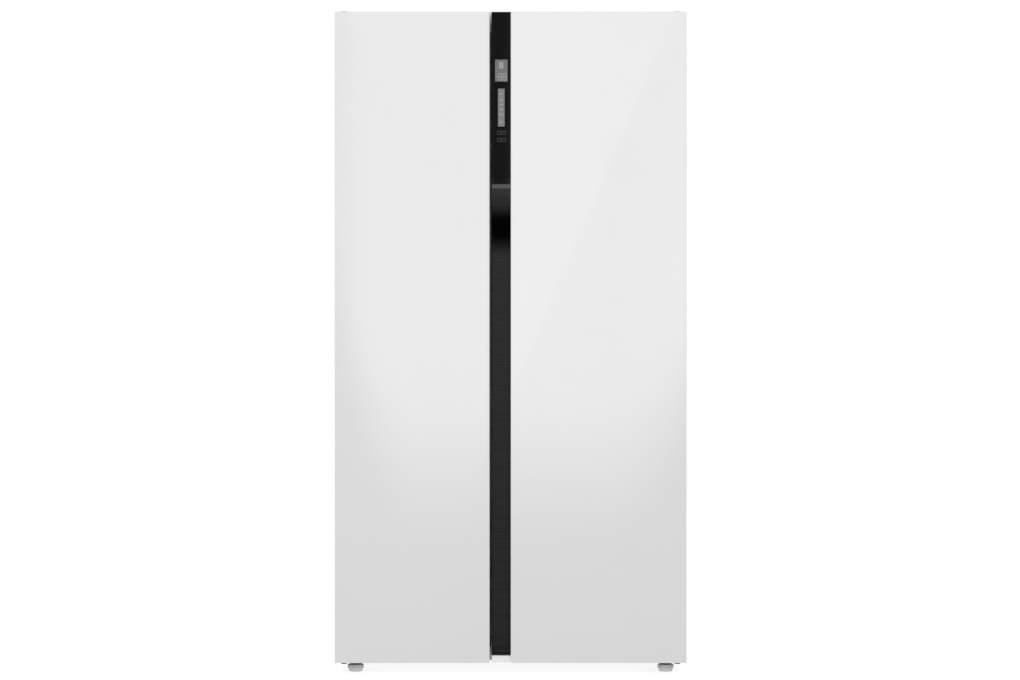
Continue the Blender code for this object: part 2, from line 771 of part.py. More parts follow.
def door_block(name, low_x, high_x, front, rear, inset):
    return box(
        name,
        (low_x + inset, front, DOOR_BOTTOM + inset),
        (high_x - inset, rear, DOOR_TOP - inset),
    )


def make_glass(name, low_x, high_x):
    glass = box(name, (low_x, GLASS_Y, DOOR_BOTTOM), (high_x, GLASS_Y + GLASS, DOOR_TOP))
    return finish(bevel(glass, GLASS_EDGE), WHITE_GLASS)


def pin_holes(target, x, grow):
    """Room for the two hinge pins at a door's ends."""
    radius = HINGE_PIN_RADIUS + HINGE_PIN_CLEARANCE + grow
    depth = HINGE_PIN_LENGTH + grow
    for end in (DOOR_BOTTOM, DOOR_TOP):
        cut(target, cylinder("pin_hole", (x, HINGE_Y, end), radius, 2 * depth, (0, 0, 1)))


def freezer_notch(grow):
    """Room for the grip trim in the freezer door's free edge."""
    return box(
        "trim_room",
        (FREEZER_EDGE_X - GRIP_REACH - GRIP_WALL - grow, GLASS_Y, DOOR_BOTTOM + TRIM_END_GAP_BOTTOM - grow),
        (FREEZER_EDGE_X + CUT, STRIP_REAR_Y + grow, DOOR_TOP - TRIM_END_GAP_TOP + grow),
    )


def fridge_notch(grow):
    """Room for the handle strip in the fridge door's free edge."""
    return box(
        "strip_room",
        (FRIDGE_EDGE_X - CUT, GLASS_Y, DOOR_BOTTOM + STRIP_END_GAP - grow),
        (STRIP_END_X + GRIP_REACH + GRIP_WALL + grow, STRIP_REAR_Y + grow, DOOR_TOP + CUT),
    )


def make_door_case(name, low_x, high_x, hinge_x, notch):
    """Door case: a thin tray behind the glass, open at the rear, with the grip's notch in its free edge."""
    front = GLASS_Y + GLASS + FIT
    case = door_block(name, low_x, high_x, front, DOOR_REAR_Y, DOOR_SIDE_INSET)
    cut(case, notch(FIT))
    inset = DOOR_SIDE_INSET + DOOR_SHEET
    inside = door_block(name + "_inside", low_x, high_x, front + DOOR_SHEET, DOOR_REAR_Y + CUT, inset)
    cut(case, settle(cut(inside, notch(FIT + DOOR_SHEET))))
    pin_holes(case, hinge_x, 0.0)
    return finish(case, WHITE_PAINT)


def liner_rectangle(cavity, hinge_side):
    """The ridge's outer edges in x, clear of the cavity's walls through the door's swing."""
    low, high = cavity
    if hinge_side < 0:
        return low + DYKE_HINGE_GAP, high - DYKE_SWING_GAP
    return low + DYKE_SWING_GAP, high - DYKE_HINGE_GAP


def raise_ridge(bm, face, base, edges, shrink, flange=True):
    """Steps a door's rear face up into a ridge round a dished middle, with a flange round it or none."""
    low_x, high_x = edges
    middle_x = (low_x + high_x) / 2
    middle_z = (DYKE_BOTTOM + DYKE_TOP) / 2
    stages = [
        (shrink, base),
        (shrink + DYKE_DRAFT, base + DYKE_HEIGHT),
        (DYKE_WIDTH - shrink - DYKE_DRAFT, base + DYKE_HEIGHT),
        (DYKE_WIDTH - shrink, base + LINER_DISH),
    ]
    for number, (inset, y) in enumerate(stages):
        if number or flange:
            bmesh.ops.inset_individual(bm, faces=[face], thickness=1e-4)
        for vert in face.verts:
            vert.co.x = high_x - inset if vert.co.x > middle_x else low_x + inset
            vert.co.z = DYKE_TOP - inset if vert.co.z > middle_z else DYKE_BOTTOM + inset
            vert.co.y = y


def with_ridge(block, base, edges, shrink, flange=True):
    """A door block whose rear face is stepped up into the ridge."""
    bm = bmesh.new()
    bm.from_mesh(block.data)
    bmesh.ops.translate(bm, vec=block.location, verts=bm.verts)
    end = max(v.co.y for v in bm.verts)
    face = next(f for f in bm.faces if all(abs(v.co.y - end) < 1e-6 for v in f.verts))
    raise_ridge(bm, face, base, edges, shrink, flange)
    name = block.name
    bpy.data.objects.remove(block)
    return new_object(name, bm)


def make_door_foam(name, low_x, high_x, hinge_x, cavity, hinge_side, notch):
    """Foam that fills the case and the liner's ridge."""
    front = GLASS_Y + GLASS + FIT + DOOR_SHEET + FIT
    inset = DOOR_SIDE_INSET + DOOR_SHEET + FIT
    rear = DOOR_REAR_Y - DOOR_SHEET - FIT
    foam = door_block(name, low_x, high_x, front, rear, inset)
    foam = with_ridge(foam, rear, liner_rectangle(cavity, hinge_side), DOOR_SHEET + FIT)
    cut(foam, notch(FIT + DOOR_SHEET + FIT))
    pin_holes(foam, hinge_x, DOOR_SHEET)
    return finish(foam, FOAM)


def bin_heights(count):
    """Floors of a door's bins, evenly spaced up the ridge's inner side."""
    return [BIN_FLOOR + BIN_ROOM * step / count for step in range(count)]


def bin_sides(cavity, hinge_side):
    low, high = liner_rectangle(cavity, hinge_side)
    inset = DYKE_WIDTH + BIN_SIDE_GAP
    return low + inset, high - inset


def make_door_liner(name, low_x, high_x, cavity, hinge_side, bins):
    """Formed door liner: a flange for the seal, a ridge all round and small ledges that hold the bins."""
    inset = DOOR_SIDE_INSET + DOOR_SHEET + FIT
    front = DOOR_REAR_Y - DOOR_SHEET
    edges = liner_rectangle(cavity, hinge_side)
    liner = door_block(name, low_x, high_x, front, DOOR_REAR_Y, inset)
    liner = with_ridge(liner, DOOR_REAR_Y, edges, 0.0)
    low, high = edges[0] + DOOR_SHEET, edges[1] - DOOR_SHEET
    hollow = box(
        name + "_hollow",
        (low, front - CUT, DYKE_BOTTOM + DOOR_SHEET),
        (high, front, DYKE_TOP - DOOR_SHEET),
    )
    cut(liner, with_ridge(hollow, front, edges, DOOR_SHEET, flange=False))
    low, high = bin_sides(cavity, hinge_side)
    front = DOOR_REAR_Y + LINER_DISH
    root = BIN_SIDE_GAP + DOOR_SHEET / 2
    for z in bin_heights(bins):
        for start, end in ((low - root, low + BIN_LEDGE), (high - BIN_LEDGE, high + root)):
            tool = box(
                name + "_bin_ledge",
                (start, front - DOOR_SHEET / 2, z - FIT - BIN_LEDGE),
                (end, front + DYKE_HEIGHT / 2, z - FIT),
            )
            join(liner, tool)
    return finish(liner, WHITE_PLASTIC)


def make_seal(name, low_x, high_x, hinge_side):
    """Magnetic door seal, one closed ring on the door's rear plane."""
    left = SEAL_HINGE_INSET if hinge_side < 0 else SEAL_SWING_INSET
    right = SEAL_SWING_INSET if hinge_side < 0 else SEAL_HINGE_INSET
    near = DOOR_REAR_Y + FIT
    far = CABINET_Y - FIT
    low = (low_x + left, near, DOOR_BOTTOM + SEAL_END_INSET)
    high = (high_x - right, far, DOOR_TOP - SEAL_END_INSET)
    seal = box(name, low, high)
    inside = box(
        "seal_inside",
        (low[0] + SEAL_WIDTH, near - CUT, low[2] + SEAL_WIDTH),
        (high[0] - SEAL_WIDTH, far + CUT, high[2] - SEAL_WIDTH),
    )
    return finish(cut(seal, inside), SEAL_RUBBER)


def recess_outline(front):
    """Side view of the hand recess: the panel's lip, a hollow ramp and the channel's straight floor."""
    top = DOOR_TOP - PANEL_HEIGHT
    ramp_top = top - PANEL_LIP
    ramp_bottom = ramp_top - RAMP_HEIGHT
    start = GLASS_Y + PANEL_THICKNESS
    points = [(front, top), (GLASS_Y + PANEL_THICKNESS / 2, top), (start, ramp_top)]
    for step in range(1, RAMP_POINTS + 1):
        share = step / RAMP_POINTS
        depth = (RECESS_Y - start) * (1 - cos(pi * share)) / 2
        points.append((start + depth, ramp_top - RAMP_HEIGHT * share))
    floor = DOOR_BOTTOM + STRIP_END_GAP + STRIP_END_WALL
    return points + [(RECESS_Y, floor), (front, floor)]


def make_handle_strip():
    """Black moulding down the fridge door's free edge: display seat, hollow ramp and hand channel."""
    bottom = DOOR_BOTTOM + STRIP_END_GAP
    reach = STRIP_END_X + GRIP_REACH
    strip = box(
        "handle_strip",
        (FRIDGE_EDGE_X, GLASS_Y + FIT, bottom),
        (reach + GRIP_WALL, STRIP_REAR_Y, DOOR_TOP),
    )
    glass_rear = GLASS_Y + GLASS + FIT
    cut(
        strip,
        box(
            "glass_room",
            (STRIP_END_X, GLASS_Y - CUT, bottom - CUT),
            (reach + CUT, glass_rear, DOOR_TOP + CUT),
        ),
    )
    cut(
        strip,
        box(
            "panel_room",
            (FRIDGE_EDGE_X - CUT, GLASS_Y - CUT, DOOR_TOP - PANEL_HEIGHT - FIT),
            (STRIP_END_X, GLASS_Y + PANEL_THICKNESS + FIT, DOOR_TOP + CUT),
        ),
    )
    cut(strip, outline("hand_recess", recess_outline(GLASS_Y - CUT), "X", FRIDGE_EDGE_X - CUT, reach))
    return finish(strip, BLACK_BRUSHED, smooth=True)


def make_control_panel():
    """Gloss touch and display panel, flush with the glass at the strip's top."""
    panel = box(
        "control_panel",
        (FRIDGE_EDGE_X, GLASS_Y + FIT, DOOR_TOP - PANEL_HEIGHT + FIT),
        (STRIP_END_X - FIT, GLASS_Y + PANEL_THICKNESS, DOOR_TOP - FIT),
    )
    return finish(bevel(panel, PANEL_THICKNESS / 6), BLACK_GLOSS)


def make_grip_trim():
    """Black moulding in the freezer door's free edge, with finger room behind the glass."""
    bottom = DOOR_BOTTOM + TRIM_END_GAP_BOTTOM
    top = DOOR_TOP - TRIM_END_GAP_TOP
    near = GLASS_Y + GLASS + FIT
    left = FREEZER_EDGE_X - GRIP_REACH - GRIP_WALL
    plan = [
        (left, near),
        (FREEZER_EDGE_X - DOOR_SIDE_INSET, near),
        (FREEZER_EDGE_X - DOOR_SIDE_INSET, near + GRIP_WALL),
        (left + GRIP_WALL, near + GRIP_WALL),
        (left + GRIP_WALL, RECESS_Y),
        (FREEZER_EDGE_X + TRIM_LIP, RECESS_Y),
        (FREEZER_EDGE_X + TRIM_LIP, STRIP_REAR_Y),
        (left, STRIP_REAR_Y),
    ]
    return finish(outline("freezer_grip_trim", plan, "Z", bottom, top), BLACK_BRUSHED)


def tray(name, low, high, wall):
    """An open-topped box with even walls."""
    return settle(open_side(box(name, low, high), 2, 1, wall))


def make_bin(name, sides, z):
    near = DOOR_REAR_Y + LINER_DISH + BIN_SIDE_GAP
    made = tray(name, (sides[0], near, z), (sides[1], near + BIN_DEPTH, z + BIN_HEIGHT), BIN_WALL)
    return finish(made, CLEAR_PLASTIC)


def make_dairy_lid(sides, z):
    """Lid over the top bin, with pins on the door's side that it lifts about."""
    near = DOOR_REAR_Y + LINER_DISH + BIN_SIDE_GAP + DAIRY_REAR_GAP
    far = near + BIN_DEPTH - 2 * DAIRY_REAR_GAP
    base = z + BIN_HEIGHT + BIN_SIDE_GAP
    profile = [
        (near, base),
        (far + DAIRY_REAR_GAP, base),
        (far, base + DAIRY_LID_RISE * DAIRY_LIP_SHARE),
        (far - DAIRY_LID_RISE, base + DAIRY_LID_RISE),
        (near, base + DAIRY_LID_RISE),
    ]
    low, high = sides[0] + BIN_WALL, sides[1] - BIN_WALL
    lid = outline("dairy_lid", profile, "X", low, high)
    edge = far + DAIRY_REAR_GAP - 2 * DAIRY_LID
    hollow = [
        (near + DAIRY_LID, base - CUT),
        (edge, base - CUT),
        (edge, base),
        (far - DAIRY_LID, base + DAIRY_LID_RISE * DAIRY_LIP_SHARE - DAIRY_LID),
        (far - DAIRY_LID_RISE - DAIRY_LID, base + DAIRY_LID_RISE - DAIRY_LID),
        (near + DAIRY_LID, base + DAIRY_LID_RISE - DAIRY_LID),
    ]
    cut(lid, outline("dairy_lid_hollow", hollow, "X", low + DAIRY_LID, high - DAIRY_LID))
    axis = dairy_axis()
    return finish(move_origin(lid, ((low + high) / 2, axis[0], axis[1])), CLEAR_PLASTIC)


def dairy_axis():
    """The lid's axis, by the door, as (y, z)."""
    z = bin_heights(FRIDGE_BINS)[-1] + BIN_HEIGHT + BIN_SIDE_GAP
    return DOOR_REAR_Y + LINER_DISH + BIN_SIDE_GAP + DAIRY_REAR_GAP + DAIRY_LID_PIN, z + DAIRY_LID_PIN


# Inside fittings


def make_shelf(name, cavity, z, rear):
    """Tempered glass shelf resting on a pair of ledges."""
    shelf = box(
        name,
        (cavity[0] + SHELF_SIDE_GAP, SHELF_Y, z),
        (cavity[1] - SHELF_SIDE_GAP, rear - SHELF_REAR_GAP, z + SHELF),
    )
    return finish(bevel(shelf, SHELF_EDGE), CLEAR_GLASS)


def make_drawer(name, cavity, z, height, rear, look):
    """Drawer: an open box with a thicker front and a pull lip under its top edge."""
    low_x, high_x = cavity[0] + DRAWER_SIDE_GAP, cavity[1] - DRAWER_SIDE_GAP
    face = DRAWER_Y + DRAWER_LIP
    body = tray(name, (low_x, face, z), (high_x, rear - DRAWER_REAR_GAP, z + height), DRAWER_WALL)
    front = outline(
        "drawer_front",
        [
            (face, z),
            (face + DRAWER_FRONT, z),
            (face + DRAWER_FRONT, z + height),
            (DRAWER_Y, z + height),
            (DRAWER_Y, z + height - DRAWER_PULL_HEIGHT),
            (DRAWER_Y + DRAWER_WALL, z + height - DRAWER_PULL_HEIGHT),
            (face, z + height - DRAWER_WALL * 2),
        ],
        "X",
        low_x,
        high_x,
    )
    return finish(join(body, front), look)


def slots(target, middle_x, z, width, near, far, count, height, pitch):
    """A stack of level slots through a panel, centred on a height."""
    for step in range(count):
        level = z + (step - (count - 1) / 2) * pitch
        tool = box(
            "slot",
            (middle_x - width / 2, near, level - height / 2),
            (middle_x + width / 2, far, level + height / 2),
        )
        cut(target, tool)


def make_freezer_back_cover():
    """Cover over the evaporator, open at the rear, with cold air outlets above and returns below."""
    low_x, high_x = FREEZER_X[0] + FIT * 3, FREEZER_X[1] - FIT * 3
    cover = box(
        "freezer_back_cover",
        (low_x, COLD_COVER_Y, STEP_Z + FIT * 3),
        (high_x, CAVITY_REAR - FIT, CAVITY_TOP - FIT * 3),
    )
    settle(open_side(cover, 1, 1, COVER_PLATE))
    middle = (low_x + high_x) / 2
    near, far = COLD_COVER_Y - CUT, COLD_COVER_Y + COVER_PLATE + CUT / 2
    shelves = freezer_shelf_heights()
    zones = [(shelves[0] + CAVITY_TOP) / 2, (shelves[0] + shelves[1]) / 2, (shelves[1] + shelves[2]) / 2]
    for z in zones:
        slots(cover, middle, z, COLD_SLOT_WIDTH, near, far, COLD_SLOTS, COLD_SLOT_HEIGHT, COLD_SLOT_PITCH)
    return finish(cover, WHITE_PLASTIC)


def make_fridge_air_duct():
    """Air duct up the fridge's rear wall, open to the wall, with one outlet slot for each space."""
    middle = sum(FRIDGE_X) / 2
    duct = box(
        "fridge_air_duct",
        (middle - DUCT_WIDTH / 2, DUCT_Y, DRAWER_COVER_Z + DUCT_END_GAP),
        (middle + DUCT_WIDTH / 2, CAVITY_REAR - FIT, CAVITY_TOP - DUCT_END_GAP),
    )
    settle(open_side(duct, 1, 1, COVER_PLATE))
    near, far = DUCT_Y - CUT, DUCT_Y + COVER_PLATE + CUT / 4
    levels = [DRAWER_COVER_Z] + fridge_shelf_heights()[::-1] + [CAVITY_TOP]
    for below, above in zip(levels, levels[1:]):
        z = (max(below, DRAWER_COVER_Z + DUCT_END_GAP) + min(above, CAVITY_TOP - DUCT_END_GAP)) / 2
        slots(duct, middle, z, DUCT_SLOT_WIDTH, near, far, 2, COLD_SLOT_HEIGHT, COLD_SLOT_PITCH)
    return finish(duct, WHITE_PLASTIC)


def comb(name, low_x, high_x, near, far, low_z, high_z, fins):
    """A heat exchanger's finned core: upright fins on one spine."""
    pitch = (high_x - low_x - FIN) / (fins - 1)
    spine = far - 3 * FIN
    plan = [(high_x, far), (low_x, far)]
    for step in range(fins):
        x = low_x + step * pitch
        plan += [(x, near), (x + FIN, near)]
        if step < fins - 1:
            plan += [(x + FIN, spine), (x + pitch, spine)]
    return outline(name, plan, "Z", low_z, high_z)


def make_evaporator():
    middle = sum(FREEZER_X) / 2
    near = COLD_COVER_Y + COVER_PLATE + EVAPORATOR_GAP
    low_z = STEP_Z + EVAPORATOR_LIFT
    made = comb(
        "evaporator",
        middle - EVAPORATOR_WIDTH / 2,
        middle + EVAPORATOR_WIDTH / 2,
        near,
        near + EVAPORATOR_DEPTH,
        low_z,
        low_z + EVAPORATOR_HEIGHT,
        EVAPORATOR_FINS,
    )
    return finish(made, ALUMINIUM)


def make_fan(name, centre, axis, radius):
    """Axial fan: a hub and twisted blades, with its origin on its axis."""
    hub = cylinder(name, (0, 0, 0), FAN_HUB_RADIUS, FAN_DEPTH, (0, 0, 1), sides=24)
    for step in range(FAN_BLADES):
        bm = bmesh.new()
        bmesh.ops.create_cube(bm, size=1.0)
        reach = radius - FAN_HUB_RADIUS * BLADE_ROOT_SHARE
        bmesh.ops.scale(bm, vec=(reach, FAN_DEPTH * 1.3, FAN_BLADE), verts=bm.verts)
        bmesh.ops.translate(bm, vec=(radius - reach / 2, 0, 0), verts=bm.verts)
        tilt = Matrix.Rotation(radians(FAN_TWIST), 4, "X")
        turn = Matrix.Rotation(2 * pi * step / FAN_BLADES, 4, "Z")
        bmesh.ops.transform(bm, matrix=turn @ tilt, verts=bm.verts)
        join(hub, new_object("blade", bm))
    settle(hub)
    hub.data.transform(Vector((0, 0, 1)).rotation_difference(Vector(axis)).to_matrix().to_4x4())
    hub.location = centre
    return finish(hub, DARK_PAINT)


def evaporator_fan_place():
    top = STEP_Z + EVAPORATOR_LIFT + EVAPORATOR_HEIGHT
    return sum(FREEZER_X) / 2, COLD_COVER_Y + COLD_COVER_DEPTH / 2, top + FAN_RADIUS + FAN_LIFT


def condenser_fan_place():
    height = BASE_FLOOR + CONDENSER_FAN_RADIUS + CONDENSER_FAN_LIFT
    return CONDENSER_FAN_X, MACHINE_Y + MACHINE_DEPTH / 2, height


def compressor_place():
    return COMPRESSOR_X, MACHINE_Y + MACHINE_DEPTH / 2


def make_compressor():
    """Sealed compressor: a domed steel pot on a foot plate."""
    x, y = compressor_place()
    foot = BASE_FLOOR + FIT
    high = foot + COMPRESSOR_FOOT + COMPRESSOR_HEIGHT
    waist = COMPRESSOR_RADIUS
    steps = COMPRESSOR_DOME_STEPS
    angles = [pi / 2 * step / steps for step in range(steps + 1)]
    rise = COMPRESSOR_DOME
    dome = [(waist * sin(angle), high - rise + rise * cos(angle)) for angle in angles]
    profile = dome + [
        (waist, foot + COMPRESSOR_BOWL),
        (waist * BOWL_SHARE, foot + COMPRESSOR_BOWL / 2),
        (waist * BOWL_BOTTOM_SHARE, foot + COMPRESSOR_FOOT),
        (waist * FOOT_SHARE, foot + COMPRESSOR_FOOT),
        (waist * FOOT_SHARE, foot),
        (0.0, foot),
    ]
    pot = turned("compressor", profile, 32)
    pot.location = (x, y, 0.0)
    return finish(pot, DARK_PAINT, smooth=True)


def make_condenser():
    x, y, _ = condenser_fan_place()
    low_x = x + FAN_DEPTH + CONDENSER_GAP
    made = comb(
        "condenser",
        low_x,
        low_x + CONDENSER_WIDTH,
        y - CONDENSER_DEPTH / 2,
        y + CONDENSER_DEPTH / 2,
        BASE_FLOOR + FIT,
        BASE_FLOOR + CONDENSER_HEIGHT,
        CONDENSER_FINS,
    )
    return finish(made, DARK_PAINT)


def make_drain_pan():
    """Defrost water pan on top of the compressor, whose heat dries it."""
    x, y = compressor_place()
    low = BASE_FLOOR + FIT + COMPRESSOR_FOOT + COMPRESSOR_HEIGHT + FIT
    reach = COMPRESSOR_RADIUS
    wide = reach * DRAIN_PAN_SHARE
    high = low + DRAIN_PAN_HEIGHT
    pan = tray("drain_pan", (x - wide, y - reach, low), (x + wide, y + reach, high), DRAIN_PAN_WALL)
    return finish(pan, GREY_PLASTIC)


def make_machine_cover():
    """Rear lower cover with two groups of vents and the moulded outlet for the mains cord."""
    side = CABINET_HALF - SHELL - FIT
    near = REAR_Y - MACHINE_COVER
    cover = box("machine_cover", (-side, near, BASE_BOTTOM), (side, REAR_Y, MACHINE_TOP - FIT))
    middle = (BASE_BOTTOM + MACHINE_TOP) / 2
    outlet = (side - CORD_OUTLET_INSET, REAR_Y, middle - CORD_OUTLET_DROP)
    boss_middle = (outlet[0], REAR_Y - CORD_BOSS_DEPTH / 2, outlet[2])
    join(cover, cylinder("cord_boss", boss_middle, CORD_BOSS_RADIUS, CORD_BOSS_DEPTH, (0, 1, 0)))
    for share in (-1, 1):
        x = share * side / 2
        slots(cover, x, middle, VENT_WIDTH, near - CUT, REAR_Y + CUT, VENT_COUNT, VENT_HEIGHT, VENT_PITCH)
    cut(cover, cylinder("cord_outlet", outlet, CORD_OUTLET_RADIUS, 2 * CUT, (0, 1, 0)))
    return finish(cover, GREY_PLASTIC)


# Twist ice maker


def ice_frame_sides():
    low = FREEZER_X[0] + SHELF_SIDE_GAP + LEDGE_WIDTH
    return low, low + ICE_FRAME_WIDTH


def ice_frame_ends():
    low = SHELF_Y + ICE_KNOB_LENGTH + ICE_FRAME_SETBACK
    return low, low + ICE_FRAME_DEPTH


def make_ice_maker_frame():
    """Frame under the freezer's roof, open above and below, that the tray turns in."""
    (low_x, high_x), (near, far) = ice_frame_sides(), ice_frame_ends()
    high = CAVITY_TOP - FIT
    low = high - ICE_FRAME_HEIGHT
    frame = box("ice_maker_frame", (low_x, near, low), (high_x, far, high))
    wall = ICE_FRAME_WALL
    inside = box(
        "ice_frame_inside", (low_x + wall, near + wall, low - CUT), (high_x - wall, far - wall, high + CUT)
    )
    cut(frame, inside)
    centre = ((low_x + high_x) / 2, (near + far) / 2, ICE_AXIS_Z)
    radius = ICE_SHAFT_RADIUS + ICE_SHAFT_CLEARANCE
    cut(frame, cylinder("shaft_hole", centre, radius, ICE_FRAME_DEPTH + CUT, (0, 1, 0)))
    return finish(frame, WHITE_PLASTIC)


def make_ice_tray():
    """Twist tray: a sheet of cells between two end plates, on a shaft with a knob at the front."""
    (low_x, high_x), (near, far) = ice_frame_sides(), ice_frame_ends()
    centre = Vector(((low_x + high_x) / 2, (near + far) / 2, ICE_AXIS_Z))
    across, along = ICE_CELLS
    bm = bmesh.new()
    bmesh.ops.create_grid(bm, x_segments=across, y_segments=along, size=0.5)
    bmesh.ops.scale(bm, vec=(ICE_TRAY_WIDTH, ICE_TRAY_LENGTH, 1.0), verts=bm.verts)
    raised = bmesh.ops.extrude_face_region(bm, geom=list(bm.faces))["geom"]
    cells = [item for item in raised if isinstance(item, bmesh.types.BMFace)]
    lifted = [item for item in raised if isinstance(item, bmesh.types.BMVert)]
    bmesh.ops.translate(bm, vec=(0, 0, ICE_TRAY_HEIGHT), verts=lifted)
    bmesh.ops.recalc_face_normals(bm, faces=bm.faces)
    bmesh.ops.inset_individual(bm, faces=cells, thickness=ICE_CELL_RIM / 2)
    for cell in cells:
        middle = cell.calc_center_median()
        for vert in cell.verts:
            vert.co.z = ICE_TRAY_WALL
            vert.co.x = middle.x + (vert.co.x - middle.x) * ICE_CELL_DRAFT
            vert.co.y = middle.y + (vert.co.y - middle.y) * ICE_CELL_DRAFT
    bmesh.ops.translate(bm, vec=centre - Vector((0, 0, ICE_TRAY_HEIGHT / 2)), verts=bm.verts)
    sheet = new_object("ice_tray", bm)
    half = ICE_TRAY_LENGTH / 2
    plate = ICE_FRAME_WALL
    for side in (-1, 1):
        y = centre.y + side * (half - plate / 2)
        tool = box(
            "ice_end",
            (centre.x - ICE_TRAY_WIDTH / 4, y - plate, ICE_AXIS_Z - ICE_TRAY_HEIGHT * ICE_END_DROP),
            (centre.x + ICE_TRAY_WIDTH / 4, y + plate, ICE_AXIS_Z + ICE_TRAY_HEIGHT * ICE_END_RISE),
        )
        join(sheet, tool)
    knob_y = near - EAR_GAP - ICE_KNOB_LENGTH
    front_end = centre.y - half
    turning = (
        (knob_y, front_end, ICE_SHAFT_RADIUS),
        (centre.y + half, far - FIT, ICE_SHAFT_RADIUS),
        (knob_y, knob_y + ICE_KNOB_LENGTH, ICE_KNOB_RADIUS),
    )
    for start, end, radius in turning:
        place = (centre.x, (start + end) / 2, ICE_AXIS_Z)
        join(sheet, cylinder("shaft", place, radius, end - start, (0, 1, 0)))
    return finish(move_origin(sheet, centre), FROST_PLASTIC)


def make_ice_box():
    """Box that catches the cubes, on the shelf under the tray."""
    low_x, high_x = ice_frame_sides()
    near, far = ice_frame_ends()
    low = ICE_SHELF_Z + SHELF + FIT
    made = tray("ice_box", (low_x, near, low), (high_x, far, low + ICE_BOX_HEIGHT), DRAWER_WALL)
    return finish(made, CLEAR_PLASTIC)


def freezer_shelf_heights():
    """From the top: the ice shelf, then even steps down to the cover of the drawers."""
    count = FREEZER_SHELVES
    step = (ICE_SHELF_Z - DRAWER_COVER_Z) / (count - 1)
    return [ICE_SHELF_Z - number * step for number in range(count)]


def fridge_shelf_heights():
    """From the top: even steps between the roof and the crisper cover."""
    step = (CAVITY_TOP - DRAWER_COVER_Z) / (FRIDGE_SHELVES + 1)
    return [CAVITY_TOP - (number + 1) * step for number in range(FRIDGE_SHELVES)]


def build_cabinet():
    make_cabinet_shell()
    make_back_panel()
    make_base_pan()
    make_insulation()
    drawers = [UPPER_DRAWER_Z]
    make_liner("freezer_liner", FREEZER_X, freezer_shelf_heights() + drawers, COLD_COVER_Y - SHELF_REAR_GAP)
    fridge_levels = fridge_shelf_heights() + [DRAWER_COVER_Z] + drawers
    make_liner("fridge_liner", FRIDGE_X, fridge_levels, DUCT_Y - SHELF_REAR_GAP)
    make_center_rail()
    for side in (-1, 1):
        make_top_hinge(side)
        make_bottom_hinge(side)
        make_leveling_foot(side)
        make_rear_roller(side)
    make_hinge_cover()
    make_machine_cover()


def build_cooling():
    make_freezer_back_cover()
    make_fridge_air_duct()
    make_evaporator()
    make_fan("evaporator_fan", evaporator_fan_place(), (0, 1, 0), FAN_RADIUS)
    make_compressor()
    make_condenser()
    make_fan("condenser_fan", condenser_fan_place(), (1, 0, 0), CONDENSER_FAN_RADIUS)
    make_drain_pan()


def build_fittings():
    for number, z in enumerate(freezer_shelf_heights(), 1):
        make_shelf(f"freezer_shelf_{number}", FREEZER_X, z, COLD_COVER_Y)
    for number, z in enumerate(fridge_shelf_heights(), 1):
        make_shelf(f"fridge_shelf_{number}", FRIDGE_X, z, DUCT_Y)
    make_shelf("crisper_cover", FRIDGE_X, DRAWER_COVER_Z, DUCT_Y)
    stores = (
        ("freezer_drawer", FREEZER_X, COLD_COVER_Y, FROST_PLASTIC),
        ("crisper", FRIDGE_X, DUCT_Y, CLEAR_PLASTIC),
    )
    for name, cavity, rear, look in stores:
        make_drawer(name + "_upper", cavity, UPPER_DRAWER_Z, UPPER_DRAWER_HEIGHT, rear, look)
        make_drawer(name + "_lower", cavity, LOWER_DRAWER_Z, LOWER_DRAWER_HEIGHT, STEP_Y, look)
    make_ice_maker_frame()
    make_ice_tray()
    make_ice_box()


def build_freezer_door():
    low_x, high_x = -HALF_WIDTH, FREEZER_EDGE_X
    sides = bin_sides(FREEZER_X, -1)
    pieces = [
        make_glass("freezer_door_glass", low_x, high_x),
        make_door_case("freezer_door_case", low_x, high_x, -HINGE_X, freezer_notch),
        make_door_foam("freezer_door_foam", low_x, high_x, -HINGE_X, FREEZER_X, -1, freezer_notch),
        make_door_liner("freezer_door_liner", low_x, high_x, FREEZER_X, -1, FREEZER_BINS),
        make_seal("freezer_door_seal", low_x, high_x, -1),
        make_grip_trim(),
    ]
    for number, z in enumerate(bin_heights(FREEZER_BINS), 1):
        pieces.append(make_bin(f"freezer_bin_{number}", sides, z))
    carry(pivot("freezer_door_axis", (-HINGE_X, HINGE_Y, DOOR_BOTTOM)), *pieces)


def build_fridge_door():
    low_x, high_x = FRIDGE_EDGE_X, HALF_WIDTH
    sides = bin_sides(FRIDGE_X, 1)
    pieces = [
        make_glass("fridge_door_glass", STRIP_END_X + FIT, high_x),
        make_door_case("fridge_door_case", low_x, high_x, HINGE_X, fridge_notch),
        make_door_foam("fridge_door_foam", low_x, high_x, HINGE_X, FRIDGE_X, 1, fridge_notch),
        make_door_liner("fridge_door_liner", low_x, high_x, FRIDGE_X, 1, FRIDGE_BINS),
        make_seal("fridge_door_seal", low_x, high_x, 1),
        make_handle_strip(),
        make_control_panel(),
    ]
    heights = bin_heights(FRIDGE_BINS)
    for number, z in enumerate(heights, 1):
        pieces.append(make_bin(f"fridge_bin_{number}", sides, z))
    pieces.append(make_dairy_lid(sides, heights[-1]))
    carry(pivot("fridge_door_axis", (HINGE_X, HINGE_Y, DOOR_BOTTOM)), *pieces)


build_cabinet()
build_cooling()
build_fittings()
build_freezer_door()
build_fridge_door()
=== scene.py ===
"""Looks of a side by side refrigerator: white glass doors, a black hand strip and a fitted interior."""

import json
from math import cos, pi, radians, sin

